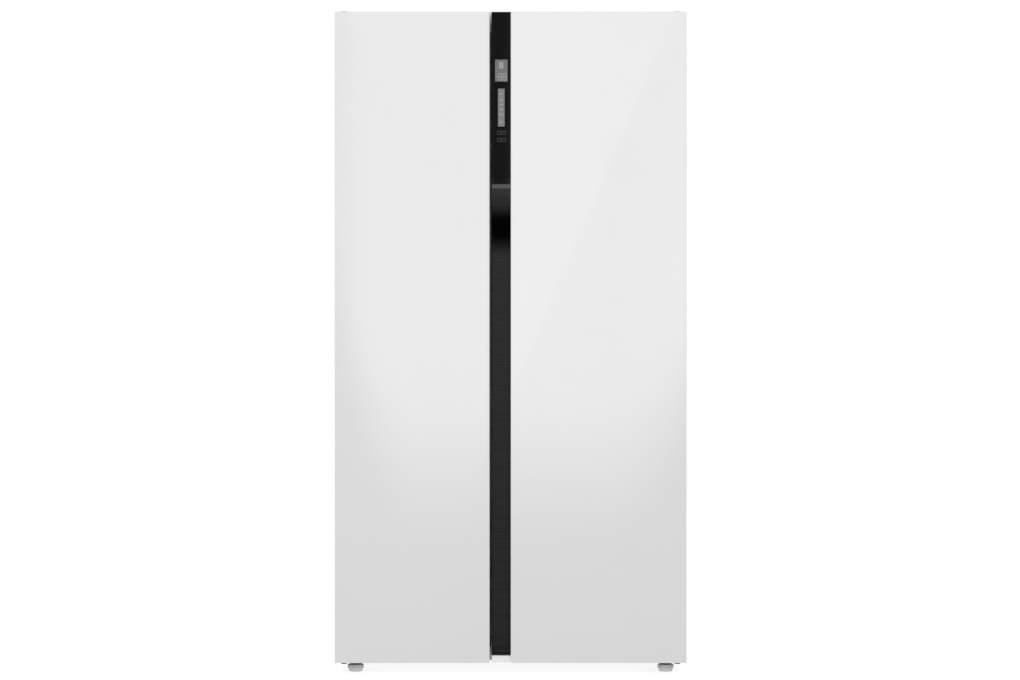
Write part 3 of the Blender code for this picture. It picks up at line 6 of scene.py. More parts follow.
import bmesh
import bpy
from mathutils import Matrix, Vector


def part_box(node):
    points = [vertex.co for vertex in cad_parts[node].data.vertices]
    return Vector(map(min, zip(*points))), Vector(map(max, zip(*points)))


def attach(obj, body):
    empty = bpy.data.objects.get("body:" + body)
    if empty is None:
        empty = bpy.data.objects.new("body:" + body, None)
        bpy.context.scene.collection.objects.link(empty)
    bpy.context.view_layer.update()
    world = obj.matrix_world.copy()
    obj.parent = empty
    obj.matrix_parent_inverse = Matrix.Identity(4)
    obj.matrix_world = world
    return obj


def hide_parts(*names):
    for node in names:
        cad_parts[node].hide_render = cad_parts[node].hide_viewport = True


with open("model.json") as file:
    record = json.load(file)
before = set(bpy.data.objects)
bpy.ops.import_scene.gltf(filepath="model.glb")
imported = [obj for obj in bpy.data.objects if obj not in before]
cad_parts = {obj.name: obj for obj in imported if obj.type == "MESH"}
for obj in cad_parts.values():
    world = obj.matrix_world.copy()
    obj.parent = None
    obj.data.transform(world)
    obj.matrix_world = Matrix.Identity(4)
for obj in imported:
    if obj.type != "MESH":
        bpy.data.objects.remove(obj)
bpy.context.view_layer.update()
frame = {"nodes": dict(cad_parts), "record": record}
NODES = frame["nodes"]
BODY_OF = {node: body for body, nodes in frame["record"]["behaviour"]["bodies"].items() for node in nodes}

# Camera, with its lens and sensor in millimetres and the rest in metres
LENS = 75.0
SENSOR = 36.0
VIEW_DISTANCE = 5.5  # lens to the glass
VIEW_HEIGHT = 0.8703
VIEW_X = -0.0017

# Studio, in metres and strengths
FLOOR_SIZE = 60.0
FLOOR_GLOW = 0.86
FLOOR_COLOUR = (0.25, 0.25, 0.25, 1.0)
BACKDROP = 1.02
SKY_LOW = 0.47
SKY_HIGH = 0.78
CARD_DISTANCE = 6.6
CARD_HALF_WIDTH = 4.5
CARD_LOW = -9.0
CARD_HIGH = 4.2
CARD_GLOW = 2.45
CARD_LEAN = (4.4, 2.0)  # horizon's fall to the left and to the right
BAND_SLOPE = 0.426
CARD_DARK = 0.02
LAMP_SIZE = 2.4
LAMP_AIM = (0, 0, 0.9)

# Finishing sizes, in metres
THIN = 0.0001
RAMP_TOP = 1.264  # hand strip's curve, floor to its top
RAMP_BOTTOM = 1.119
SOFT_EDGE = 0.0006
RUBBED_WIDTH = 0.0012
SCREW_RADIUS = 0.0045
WRAP_EDGE = 0.0003
PANEL_EDGE = 0.0012
SHARP_ANGLE = radians(32)
WHITE = (1.0, 1.0, 1.0, 1.0)

scene = bpy.context.scene
scene.view_settings.view_transform = "Standard"
scene.view_settings.look = "None"


def place_object(name, data):
    made = bpy.data.objects.new(name, data)
    scene.collection.objects.link(made)
    return made


def set_camera():
    """Level long-lens view of the doors from straight ahead."""
    data = bpy.data.cameras.new("camera")
    data.lens = LENS
    data.sensor_width = SENSOR
    data.clip_end = 100.0
    camera = place_object("camera", data)
    camera.location = (VIEW_X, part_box("fridge_door_glass")[0].y - VIEW_DISTANCE, VIEW_HEIGHT)
    camera.rotation_euler = (radians(90), 0, 0)
    scene.camera = camera


set_camera()


# ---- node wiring


class Board:
    """Nodes and links of one tree."""

    def __init__(self, tree):
        self.tree = tree

    def wire(self, node, inputs):
        for key, value in inputs.items():
            if isinstance(value, bpy.types.NodeSocket):
                self.tree.links.new(value, node.inputs[key])
            else:
                node.inputs[key].default_value = value
        return node

    def add(self, kind, inputs=None, **settings):
        node = self.tree.nodes.new(kind)
        for key, value in settings.items():
            setattr(node, key, value)
        return self.wire(node, inputs or {})

    def shape(self, kind, inputs, **settings):
        return self.add("GeometryNode" + kind, inputs, **settings).outputs[0]

    def mesh_of(self, made):
        return self.add("GeometryNodeObjectInfo", {"Object": made}).outputs["Geometry"]

    def use(self, effect, inputs):
        return self.add("ShaderNodeGroup", inputs, node_tree=effect).outputs

    def grain(self, scale, **more):
        return self.use(GRAIN, {"Scale": scale, **more})

    def rub(self, colour, worn, width=0.001, amount=0.5):
        sizes = {"Colour": colour, "Worn": worn, "Width": width, "Amount": amount}
        return self.use(EDGE_WEAR, sizes)["Colour"]

    def math(self, operation, first, second=0.0, clamp=False):
        inputs = {0: first, 1: second}
        return self.add("ShaderNodeMath", inputs, operation=operation, use_clamp=clamp).outputs[0]

    def times(self, first, second):
        return self.math("MULTIPLY", first, second)

    def less(self, first, second):
        return self.math("SUBTRACT", first, second)

    def blend(self, share, first, second):
        return self.add("ShaderNodeMix", {0: share, 6: first, 7: second}, data_type="RGBA").outputs[2]

    def spread(self, value, start, end, low, high, smooth=False):
        steps = "SMOOTHSTEP" if smooth else "LINEAR"
        sizes = {"Value": value, "From Min": start, "From Max": end, "To Min": low, "To Max": high}
        return self.add("ShaderNodeMapRange", sizes, interpolation_type=steps).outputs[0]

    def place(self):
        return self.add("ShaderNodeTexCoord").outputs["Object"]

    def split(self, vector):
        return self.add("ShaderNodeSeparateXYZ", {0: vector}).outputs

    def bump(self, height, distance, strength=1.0):
        sizes = {"Height": height, "Strength": strength, "Distance": distance}
        return self.add("ShaderNodeBump", sizes).outputs[0]


def socket_kind(value):
    """A string names its own kind of socket; a number, vector or colour has its own."""
    if isinstance(value, str):
        return value
    if isinstance(value, tuple):
        return {3: "Vector", 4: "Color"}[len(value)]
    return "Int" if isinstance(value, int) else "Float"


def effect_tree(name, inputs, outputs, kind="ShaderNodeTree"):
    """Node group with named sockets; gives its board, its input sockets and its output node."""
    tree = bpy.data.node_groups.new(name, kind)
    for side, sockets in (("INPUT", inputs), ("OUTPUT", outputs)):
        for label, value in sockets.items():
            socket_type = "NodeSocket" + socket_kind(value)
            made = tree.interface.new_socket(name=label, in_out=side, socket_type=socket_type)
            if not isinstance(value, str):
                made.default_value = value
    board = Board(tree)
    return board, board.add("NodeGroupInput").outputs, board.add("NodeGroupOutput")


def make_edge_wear():
    """Colour rubbed lighter or darker along edges, broken up in patches."""
    inputs = {"Colour": WHITE, "Worn": WHITE, "Width": 0.001, "Amount": 0.5, "Patch Scale": 40.0}
    board, given, result = effect_tree("edge_wear", inputs, {"Colour": "Color"})
    rounded = board.add("ShaderNodeBevel", {"Radius": given["Width"]}, samples=3).outputs[0]
    face = board.add("ShaderNodeNewGeometry").outputs["True Normal"]
    pair = {0: rounded, 1: face}
    meeting = board.add("ShaderNodeVectorMath", pair, operation="DOT_PRODUCT").outputs["Value"]
    edge = board.spread(meeting, 0.995, 0.86, 0.0, 1.0)
    speckle = {"Vector": board.place(), "Scale": given["Patch Scale"], "Detail": 3.0}
    patch = board.add("ShaderNodeTexNoise", speckle).outputs[0]
    broken = board.spread(patch, 0.38, 0.62, 0.25, 1.0)
    mask = board.math("MULTIPLY", board.times(edge, broken), given["Amount"], clamp=True)
    board.wire(result, {"Colour": board.blend(mask, given["Colour"], given["Worn"])})
    return board.tree


def make_grain():
    """Stretched noise between two values, with a height for bump."""
    inputs = {"Scale": 100.0, "Stretch": (1.0, 1.0, 1.0), "Detail": 3.0, "Low": 0.0, "High": 1.0}
    board, given, result = effect_tree("grain", inputs, {"Value": "Float", "Height": "Float"})
    pair = {0: board.place(), 1: given["Stretch"]}
    laid = board.add("ShaderNodeVectorMath", pair, operation="MULTIPLY").outputs[0]
    sizes = {"Vector": laid, "Scale": given["Scale"], "Detail": given["Detail"]}
    noise = board.add("ShaderNodeTexNoise", sizes).outputs[0]
    value = board.spread(noise, 0.3, 0.7, given["Low"], given["High"])
    board.wire(result, {"Value": value, "Height": noise})
    return board.tree


def make_dust():
    """Thin settled dust on faces that look up."""
    inputs = {"Colour": WHITE, "Dust": (0.6, 0.59, 0.57, 1.0), "Amount": 0.1, "Scale": 14.0}
    board, given, result = effect_tree("dust", inputs, {"Colour": "Color"})
    rise = board.split(board.add("ShaderNodeNewGeometry").outputs["Normal"])["Z"]
    up = board.spread(rise, 0.6, 1.0, 0.0, 1.0)
    sizes = {"Vector": board.place(), "Scale": given["Scale"], "Detail": 6.0}
    noise = board.add("ShaderNodeTexNoise", sizes).outputs[0]
    mask = board.math("MULTIPLY", board.times(up, noise), given["Amount"], clamp=True)
    board.wire(result, {"Colour": board.blend(mask, given["Colour"], given["Dust"])})
    return board.tree


def make_cells():
    """Flat cells of slightly different value, for zinc crystals and foam."""
    board, given, result = effect_tree("spangle", {"Scale": 120.0}, {"Value": "Float"})
    cells = board.add("ShaderNodeTexVoronoi", {"Vector": board.place(), "Scale": given["Scale"]})
    shade = board.add("ShaderNodeSeparateColor", {0: cells.outputs["Color"]}).outputs[0]
    board.wire(result, {"Value": board.spread(shade, 0.0, 1.0, 0.0, 1.0)})
    return board.tree


EDGE_WEAR = make_edge_wear()
GRAIN = make_grain()
DUST = make_dust()
CELLS = make_cells()


# ---- finishes


def scaled(colour, share):
    return (colour[0] * share, colour[1] * share, colour[2] * share, 1.0)


def grey(value, tint=WHITE):
    return scaled(tint, value)


def new_look(name):
    """Material with an empty board and its Principled shader."""
    look = bpy.data.materials.new(name)
    look.use_nodes = True
    LOOKS[name] = look
    return look, Board(look.node_tree), look.node_tree.nodes["Principled BSDF"]


def make_look(name, colour, rough, scale, stretch=(1, 1, 1), bump=0.00004, mottle=0.025, worn=None,
              wear=0.3, dust=0.06, **sockets):
    """Finish with mottled colour, grain in its gloss and relief, rubbed edges and settled dust."""
    board, shader = new_look(name)[1:]
    cloud = board.grain(7.0, Detail=4.0)["Value"]
    base = board.blend(cloud, scaled(colour, 1.0 - mottle), scaled(colour, 1.0 + mottle / 2))
    fine = board.grain(scale, Stretch=stretch, Low=rough[0], High=rough[1])
    base = board.rub(base, worn or scaled(colour, 1.12), RUBBED_WIDTH, wear)
    if dust:
        base = board.use(DUST, {"Colour": base, "Amount": dust})["Colour"]
    relief = board.bump(fine["Height"], bump)
    board.wire(shader, {"Base Color": base, "Roughness": fine["Value"], "Normal": relief})
    board.wire(shader, {key.replace("_", " "): value for key, value in sockets.items()})


LOOKS = {}
ICE_TINT = (0.96, 0.99, 1)
METAL_TINT = (0.98, 0.99, 1)


def make_looks():
    """Every finish of the refrigerator, named for its record slot or its own use."""
    bare = {"dust": 0.0}
    for name, colour, rough, scale, more in (
        ("white_paint", grey(0.80, (1, 1, 0.995)), (0.34, 0.44), 700, {"bump": 0.00006, "mottle": 0.008}),
        ("white_plastic", grey(0.79, (0.99, 1, 1)), (0.36, 0.5), 1200, {"bump": 0.00003}),
        ("liner_plastic", grey(0.86, (0.99, 0.998, 1)), (0.22, 0.34), 240,
         {"bump": 0.00005, "mottle": 0.01, "wear": 0.15, **bare}),
        ("black_gloss", grey(0.007), (0.03, 0.06), 500,
         {"bump": 0.000004, "worn": grey(0.03), "Specular_IOR_Level": 0.08, **bare}),
        # Bead at the top of the hand strip's curve: its lighter grey is a painted highlight
        ("bead_painted_highlight", grey(0.03), (0.2, 0.3), 500, {"worn": grey(0.05), **bare}),
        ("black_satin", grey(0.012), (0.25, 0.4), 900, {"bump": 0.00003, "worn": grey(0.04), **bare}),
        ("seal_rubber", grey(0.52, (1, 1, 0.98)), (0.55, 0.7), 600,
         {"bump": 0.00005, "worn": grey(0.42), **bare}),
        ("dark_paint", grey(0.018), (0.3, 0.45), 500, {"worn": grey(0.09)}),
        ("dark_plastic", grey(0.02), (0.45, 0.6), 800, {"worn": grey(0.06)}),
        ("foot_plastic", grey(0.60), (0.4, 0.55), 500, {"worn": grey(0.7), "dust": 0.2}),
        ("grey_plastic", grey(0.42, (0.98, 1, 1.02)), (0.4, 0.55), 800, {}),
        ("aluminium", grey(0.72, METAL_TINT), (0.28, 0.42), 900,
         {"stretch": (1, 1, 0.05), "Metallic": 1.0, "dust": 0.02}),
        ("copper", (0.72, 0.38, 0.24, 1), (0.25, 0.45), 300,
         {"worn": (0.8, 0.5, 0.35, 1), "Metallic": 1.0, "dust": 0.05}),
        ("frost_plastic", grey(0.86, ICE_TINT), (0.28, 0.38), 700,
         {"bump": 0.00006, "Transmission_Weight": 0.55, "IOR": 1.49, **bare}),
        ("clear_plastic", grey(0.88, ICE_TINT), (0.05, 0.1), 120,
         {"bump": 0.00003, "mottle": 0.01, "worn": grey(0.97), "wear": 0.6, "Alpha": 0.34, **bare}),
        ("clear_glass", grey(0.94, (0.94, 1, 0.985)), (0.02, 0.05), 60,
         {"bump": 0.00001, "mottle": 0.01, "worn": (0.6, 0.82, 0.76, 1), "wear": 0.8,
          "Transmission_Weight": 0.92, "IOR": 1.5, **bare}),
        ("lamp", grey(0.92), (0.3, 0.4), 500,
         {"Transmission_Weight": 0.4, "Emission_Color": (0.95, 0.98, 1, 1), "Emission_Strength": 9.0,
          **bare}),
    ):
        make_look(name, colour, rough, scale, **more)
    for name, value in (
        ("display_back", 0.135), ("display_mark", 0.30), ("display_line", 0.075), ("touch_back", 0.17)
    ):
        make_printed_look(name, value)


def make_foam():
    """Cream rigid foam with an open cell skin."""
    board, shader = new_look("foam")[1:]
    cells = board.use(CELLS, {"Scale": 900.0})["Value"]
    cloud = board.grain(25.0)["Value"]
    board.wire(shader, {
        "Base Color": board.blend(cloud, (0.80, 0.68, 0.42, 1), (0.86, 0.76, 0.52, 1)),
        "Normal": board.bump(cells, 0.0003),
        "Roughness": board.spread(cells, 0.0, 1.0, 0.75, 0.95),
    })


def make_zinc():
    """Zinc-plated steel sheet with crystals and brighter edges."""
    board, shader = new_look("zinc_steel")[1:]
    crystal = board.use(CELLS, {"Scale": 160.0})["Value"]
    shade = board.blend(crystal, grey(0.62, METAL_TINT), grey(0.68, METAL_TINT))
    fine = board.grain(600.0)["Height"]
    board.wire(shader, {
        "Base Color": board.rub(shade, grey(0.75)),
        "Roughness": board.spread(crystal, 0.0, 1.0, 0.42, 0.52),
        "Normal": board.bump(fine, 0.00002),
        "Metallic": 0.75,
    })


def make_brushed():
    """Black moulding with fine level hairlines in the channel, plain in the curve above it. Painted shade
    darkens the curve's lower half and the channel just below it, fading out towards the strip's foot and
    the curve's top.
    """
    board, shader = new_look("black_brushed")[1:]
    hair = board.grain(1.0, Stretch=(9.0, 9.0, 420.0), Detail=5.0)
    height = board.split(board.place())["Z"]

    def band(start, end, low, high, smooth=True):
        return board.spread(height, RAMP_BOTTOM + start, RAMP_BOTTOM + end, low, high, smooth)

    # Painted shade: a dark band over the curve's lower half and the channel just below it, where the
    # overhang shades it; it darkens the colour and the gloss's tint
    deep = board.times(band(-0.030, 0.025, 0.0, 1.0), band(0.055, 0.100, 1.0, 0.0))
    plain = band(-0.035, 0.0, 0.0, 1.0)
    # Painted light and shade: the tone is darkest near the curve's foot, lighter towards the strip's foot
    # and towards the curve's top
    lower = board.spread(height, 0.3, RAMP_BOTTOM, 1.0, 0.0)
    upper = band(0.070, 0.100, 0.0, 1.0, False)
    lines = board.times(hair["Value"], board.less(1.0, plain))
    painted_light_and_shade = board.blend(board.math("MAXIMUM", lower, upper), grey(0.005), grey(0.019))
    shade = board.blend(deep, board.blend(lines, painted_light_and_shade, grey(0.024)), grey(0.001))
    board.wire(shader, {
        "Base Color": board.rub(shade, grey(0.05), 0.0008, 0.4),
        "Roughness": board.spread(hair["Height"], 0.3, 0.7, 0.22, 0.4),
        "Normal": board.bump(hair["Height"], 0.00005, board.spread(plain, 0.0, 1.0, 1.0, 0.1)),
        "Specular Tint": board.blend(deep, WHITE, grey(0.1)),
        "Specular IOR Level": 0.14,
    })


def make_white_glass():
    """Glass painted white on its back: a deep even white under a clear gloss with faint roller waves."""
    board, shader = new_look("white_glass")[1:]
    cloud = board.grain(2.2, Detail=2.0)["Value"]
    tint = (0.998, 1, 1)
    shade = board.blend(cloud, grey(0.698, tint), grey(0.706, tint))
    wave = board.grain(5.0, Stretch=(1.0, 1.0, 0.35), Detail=0.0)["Height"]
    smudge = board.grain(11.0, Detail=5.0, Low=0.30, High=0.36)["Value"]
    board.wire(shader, {
        "Base Color": board.rub(shade, (0.58, 0.64, 0.62, 1), RUBBED_WIDTH),
        "Roughness": smudge,
        "Normal": board.bump(wave, 0.0001, 0.6),
        "Coat Weight": 1.0,
        "Coat Roughness": 0.012,
        "Coat IOR": 1.5,
    })


def make_printed_look(name, value):
    """Printed and faintly lit mark under the panel's gloss."""
    board, shader = new_look(name)[1:]
    fine = board.grain(900.0, Low=0.85, High=1.1)["Value"]
    board.wire(shader, {
        "Base Color": board.blend(fine, grey(value * 0.35), grey(value * 0.5)),
        "Emission Color": board.blend(fine, grey(value * 0.7), grey(value * 0.85)),
        "Roughness": board.spread(fine, 0.8, 1.1, 0.25, 0.35),
        "Emission Strength": 0.8,
        "Specular IOR Level": 0.2,
    })


make_looks()
make_foam()
make_zinc()
make_brushed()
make_white_glass()


# ---- repeating parts


def finish_tree(board, given, result, shape):
    painted = {"Geometry": shape, "Material": given["Finish"]}
    board.wire(result, {"Geometry": board.shape("SetMaterial", painted)})
    return board.tree


def copies_tree(board, given, result, spots, placing):
    """Copies of the given part at every spot, joined, placed and painted."""
    copies = board.shape("InstanceOnPoints", {"Instance": board.mesh_of(given["Part"]), **spots})
    whole = board.shape("RealizeInstances", {"Geometry": copies})
    return finish_tree(board, given, result, board.shape("Transform", {"Geometry": whole, **placing}))


def make_grid_tree():
    """Copies of one small part in rows and columns."""
    inputs = {"Part": "Object", "Finish": "Material", "Start": (0.0, 0.0, 0.0), "Columns": 1,
              "Column Step": (0.0, 0.0, 0.0), "Rows": 1, "Row Step": (0.0, 0.0, 0.0)}
    board, given, result = effect_tree("part_grid", inputs, {"Geometry": "Geometry"}, "GeometryNodeTree")
    lines = []
    for label in ("Column", "Row"):
        sizes = {"Count": given[label + "s"], "Offset": given[label + " Step"]}
        lines.append(board.shape("MeshLine", sizes, mode="OFFSET"))
    field = board.shape("InstanceOnPoints", {"Points": lines[1], "Instance": lines[0]})
    points = board.shape("RealizeInstances", {"Geometry": field})
    return copies_tree(board, given, result, {"Points": points}, {"Translation": given["Start"]})


def make_ring_tree():
    """Copies of one small part around the Z axis, each facing outwards, turned and moved as a whole."""
    inputs = {"Part": "Object", "Finish": "Material", "Count": 8, "Radius": 0.01, "Turn": (0.0, 0.0, 0.0),
              "Centre": (0.0, 0.0, 0.0)}
    board, given, result = effect_tree("part_ring", inputs, {"Geometry": "Geometry"}, "GeometryNodeTree")
    rim = board.shape("MeshCircle", {"Vertices": given["Count"], "Radius": given["Radius"]})
    step = board.math("DIVIDE", 2 * pi, given["Count"])
    number = board.add("GeometryNodeInputIndex").outputs[0]
    angle = board.add("ShaderNodeCombineXYZ", {"Z": board.times(number, step)}).outputs[0]
    placing = {"Translation": given["Centre"], "Rotation": given["Turn"]}
    return copies_tree(board, given, result, {"Points": rim, "Rotation": angle}, placing)


def make_tube_tree():
    """Round tube along a path of edges, with its bends filleted."""
    inputs = {"Path": "Object", "Finish": "Material", "Radius": 0.003, "Bend": 0.01}
    board, given, result = effect_tree("bent_tube", inputs, {"Geometry": "Geometry"}, "GeometryNodeTree")
    line = board.shape("MeshToCurve", {"Mesh": board.mesh_of(given["Path"])})
    bends = {"Curve": line, "Radius": given["Bend"], "Limit Radius": True, "Count": 6}
    bent = board.shape("FilletCurve", bends, mode="POLY")
    circle = board.shape("CurvePrimitiveCircle", {"Resolution": 10, "Radius": given["Radius"]})
    tube_sizes = {"Curve": bent, "Profile Curve": circle, "Fill Caps": True}
    return finish_tree(board, given, result, board.shape("CurveToMesh", tube_sizes))


GRID = make_grid_tree()
RING = make_ring_tree()
TUBE = make_tube_tree()


def grown(tree, part, look, values):
    """Plain mesh that a node tree makes from its named sizes and one part's mesh, with its look."""
    source = place_object("part", part)
    holder = place_object("grown", bpy.data.meshes.new("grown"))
    modifier = holder.modifiers.new("grow", "NODES")
    modifier.node_group = tree
    values = {**values, "Finish": LOOKS[look], "Path": source, "Part": source}
    for item in tree.interface.items_tree:
        if item.item_type == "SOCKET" and item.in_out == "INPUT" and item.name in values:
            modifier[item.identifier] = values[item.name]
    bpy.context.view_layer.update()
    graph = bpy.context.evaluated_depsgraph_get()
    mesh = bpy.data.meshes.new_from_object(holder.evaluated_get(graph), depsgraph=graph)
    for spare in (holder, source):
        bpy.data.objects.remove(spare)
    return mesh, look


def grid(part, look, start, columns=1, column_step=(0, 0, 0), rows=1, row_step=(0, 0, 0)):
    values = {"Columns": columns, "Column Step": column_step, "Rows": rows, "Row Step": row_step}
    return grown(GRID, part, look, {"Start": start, **values})


def row_of(part, look, start, end, count):
    """Copies of one small part at equal steps from a start to an end."""
    step = (Vector(end) - Vector(start)) / (count - 1)
    return grid(part, look, start, count, tuple(step))


def ring(part, look, count, radius, centre, turn=(0, 0, 0)):
    values = {"Count": count, "Radius": radius, "Turn": turn, "Centre": tuple(centre)}
    return grown(RING, part, look, values)


def tube(points, look, radius, bend):
    path = bpy.data.meshes.new("path")
    path.from_pydata(points, [(i, i + 1) for i in range(len(points) - 1)], [])
    return grown(TUBE, path, look, {"Radius": radius, "Bend": bend})


# ---- shapes


def from_bmesh(shape):
    mesh = bpy.data.meshes.new("shape")
    shape.to_mesh(mesh)
    shape.free()
    return mesh


def loft(rings, closed=False):
    """Skin over rings of equally many points."""
    shape = bmesh.new()
    rows = [[shape.verts.new(point) for point in points] for points in rings]
    count = len(rows[0])
    pairs = list(zip(rows, rows[1:])) + ([(rows[-1], rows[0])] if closed else [])
    for low, high in pairs:
        for i in range(count):
            j = (i + 1) % count
            shape.faces.new((low[i], low[j], high[j], high[i]))
    if not closed:
        shape.faces.new(rows[0][::-1])
        shape.faces.new(rows[-1])
    bmesh.ops.remove_doubles(shape, verts=shape.verts, dist=1e-7)
    bmesh.ops.recalc_face_normals(shape, faces=shape.faces)
    return from_bmesh(shape)


def four_radii(radius):
    return radius if isinstance(radius, tuple) else (radius,) * 4


def rounded_rectangle(low, high, inset, radius, steps=4):
    """Points of an inset rectangle with one corner radius or four, from the low corner anticlockwise."""
    x0, y0, x1, y1 = low[0] + inset, low[1] + inset, high[0] - inset, high[1] - inset
    points = []
    corners = (x0, y0, 1, 1), (x1, y0, -1, 1), (x1, y1, -1, -1), (x0, y1, 1, -1)
    for number, (x, y, to_x, to_y) in enumerate(corners):
        r = max(four_radii(radius)[number], 1e-5)
        for step in range(steps + 1):
            angle = pi + (number + step / steps) * pi / 2
            points.append((x + to_x * r + r * cos(angle), y + to_y * r + r * sin(angle)))
    return points


def plate(low, high, radius, edge, axis="Y", front=-1, steps=4):
    """Flat plate with rounded corners and a rounded edge on the side, along the axis, that shows."""
    a_axis, b_axis, deep = {"Y": (0, 2, 1), "Z": (0, 1, 2)}[axis]
    near, far = (low[deep], high[deep]) if front < 0 else (high[deep], low[deep])
    away = 1 if far > near else -1
    sections = [(0.0, far)]
    for step in range(4):
        angle = step / 3 * pi / 2
        sections.append((edge * (1 - cos(angle)), near + away * edge * (1 - sin(angle))))
    flat_low, flat_high = (low[a_axis], low[b_axis]), (high[a_axis], high[b_axis])
    rings = []
    for inset, depth in sections:
        inner = tuple(max(r - inset, 0.0002) for r in four_radii(radius))
        flat = rounded_rectangle(flat_low, flat_high, inset, inner, steps)
        rings.append([(a, depth, b) if axis == "Y" else (a, b, depth) for a, b in flat])
    return loft(rings)


def bevel(shape, edges, width, segments, clamp):
    sizes = {"offset": width, "segments": segments, "profile": 0.5, "clamp_overlap": clamp}
    bmesh.ops.bevel(shape, geom=edges, affect="EDGES", **sizes)


def block(low, high, edge, segments=2):
    """Box with all its edges rounded."""
    shape = bmesh.new()
    bmesh.ops.create_cube(shape, size=1.0)
    for vertex in shape.verts:
        for i in range(3):
            vertex.co[i] = high[i] if vertex.co[i] > 0 else low[i]
    width = min(edge, min(high[i] - low[i] for i in range(3)) * 0.45)
    bevel(shape, shape.edges[:], width, segments, False)
    bmesh.ops.recalc_face_normals(shape, faces=shape.faces)
    return from_bmesh(shape)


def basin(low, high, wall, corner, rim, draft, foot, rim_height=0.005):
    """Open-topped moulded bin: soft foot, drafted walls and a rolled rim."""
    tip = min(rim_height * 0.3, 0.001)
    inner_foot = max(foot - wall, 0.0005)

    def curve(start, radius, level, steps):
        bends = [i / 3 * pi / 2 for i in steps]
        return [(start + radius * (1 - sin(bend)), level + radius * (1 - cos(bend))) for bend in bends]

    sections = curve(rim + draft, foot, low[2], range(4))
    for inset, drop in (
        (rim, rim_height), (tip / 2, rim_height), (0.0, rim_height - tip / 2), (0.0, tip),
        (tip * 0.4, tip * 0.3), (tip, 0.0), (rim + wall - tip, 0.0), (rim + wall - tip * 0.3, tip * 0.3),
        (rim + wall, tip),
    ):
        sections.append((inset, high[2] - drop))
    sections += curve(rim + draft + wall, inner_foot, low[2] + wall, range(3, -1, -1))
    rings = []
    for inset, z in sections:
        flat = rounded_rectangle(low, high, inset, max(corner - inset * 0.6, 0.001), 5)
        rings.append([(x, y, z) for x, y in flat])
    return loft(rings)


def turned(profile, centre=(0, 0, 0), axis="Z", sides=32):
    """Solid of revolution: profile is a list of (radius, distance along the axis)."""
    rings = []
    for radius, distance in profile:
        points = []
        for i in range(sides):
            angle = 2 * pi * i / sides
            a, b = max(radius, 1e-5) * cos(angle), max(radius, 1e-5) * sin(angle)
            spot = {"Z": (a, b, distance), "X": (distance, a, b), "Y": (a, distance, b)}[axis]
            points.append(Vector(spot) + Vector(centre))
        rings.append(points)
    return loft(rings)


def soften(shape, width, segments=2, wanted=None):
    """Round the sharp edges, or those of them that are wanted."""
    chosen = []
    for edge in shape.edges:
        if len(edge.link_faces) == 2 and edge.calc_face_angle(0) >= SHARP_ANGLE:
            if wanted is None or wanted(edge):
                chosen.append(edge)
    if chosen:
        bevel(shape, chosen, width, segments, True)
    return from_bmesh(shape)


def prism(points, low, high, edge=0.0):
    """Side outline pushed along X."""
    mesh = loft([[(x, y, z) for y, z in points] for x in (low, high)])
    if not edge:
        return mesh
    shape = bmesh.new()
    shape.from_mesh(mesh)
    return soften(shape, edge)


def softened(node, width=SOFT_EDGE, segments=2, wanted=None):
    """CAD node's shape, its loose triangles joined into whole faces and its sharp edges rounded."""
    shape = bmesh.new()
    shape.from_mesh(NODES[node].data)
    bmesh.ops.remove_doubles(shape, verts=shape.verts, dist=1e-5)
    bmesh.ops.dissolve_limit(shape, angle_limit=radians(0.5), verts=shape.verts, edges=shape.edges)
    return soften(shape, width, segments, wanted)


def screw_part(height):
    """Pan-head screw with a recess, its head's seat at the origin."""
    profile = [(1.0, 0.0), (1.0, 0.35), (0.82, 0.8), (0.45, 1.0), (0.28, 0.55), (0.0, 0.4)]
    return turned([(SCREW_RADIUS * r, height * h) for r, h in profile], axis="Y", sides=12)


def between(box, x=(0, 0), y=(0, 0), z=(0, 0)):
    """Corners inside a box: offsets from its low side, or from its high side when they are below zero."""
    low, high = box
    start = [near + a if a >= 0 else far + a for near, far, (a, b) in zip(low, high, (x, y, z))]
    end = [far + b if b <= 0 else near + b for near, far, (a, b) in zip(low, high, (x, y, z))]
    return start, end


# ---- pieces

# Record slots of the looks that aren't a slot themselves
SLOTS = {
    "liner_plastic": "white_plastic",
    "black_satin": "black_brushed",
    "foot_plastic": "grey_plastic",
    "display_back": "black_gloss",
    "display_line": "black_gloss",
    "touch_back": "black_gloss",
}


def piece(name, parts, nodes=(), body=None, slot=None):
    """Visible piece of (mesh, look) parts, riding on a body and standing for CAD nodes.

    Its slot, the first part's look unless one is given, is worked out but not kept; the body is the first
    node's.
    """
    first_look = parts[0][1]
    slot = slot or SLOTS.get(first_look, first_look)
    shape = bmesh.new()
    mesh = bpy.data.meshes.new(name)
    for part, look in parts:
        first = len(shape.faces)
        shape.from_mesh(part)
        shape.faces.ensure_lookup_table()
        for face in shape.faces[first:]:
            face.material_index = len(mesh.materials)
            face.smooth = True
        mesh.materials.append(LOOKS[look])
        bpy.data.meshes.remove(part)
    shape.to_mesh(mesh)
    shape.free()
    mesh.set_sharp_from_angle(angle=SHARP_ANGLE)
    made = place_object(name, mesh)
    flat = made.modifiers.new("flat_faces", "WEIGHTED_NORMAL")
    flat.mode = "FACE_AREA"
    flat.weight = 100
    flat.keep_sharp = True
    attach(made, body or BODY_OF[nodes[0]])
    if nodes:
        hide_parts(*nodes)


def cad_piece(name, node, look, *finish):
    piece(name, [(softened(node, *finish), look)], [node])


def keep(look, *nodes):
    """CAD nodes whose shape is right get their finish."""
    for node in nodes:
        data = NODES[node].data
        data.materials.clear()
        data.materials.append(LOOKS[look])


# ---- doors

GLASS_CORNER = 0.0022
STRIP_CORNER = 0.007  # right glass's lower corner beside the strip
STRIP_FLOOR = 0.002  # strip's wall behind the hand channel


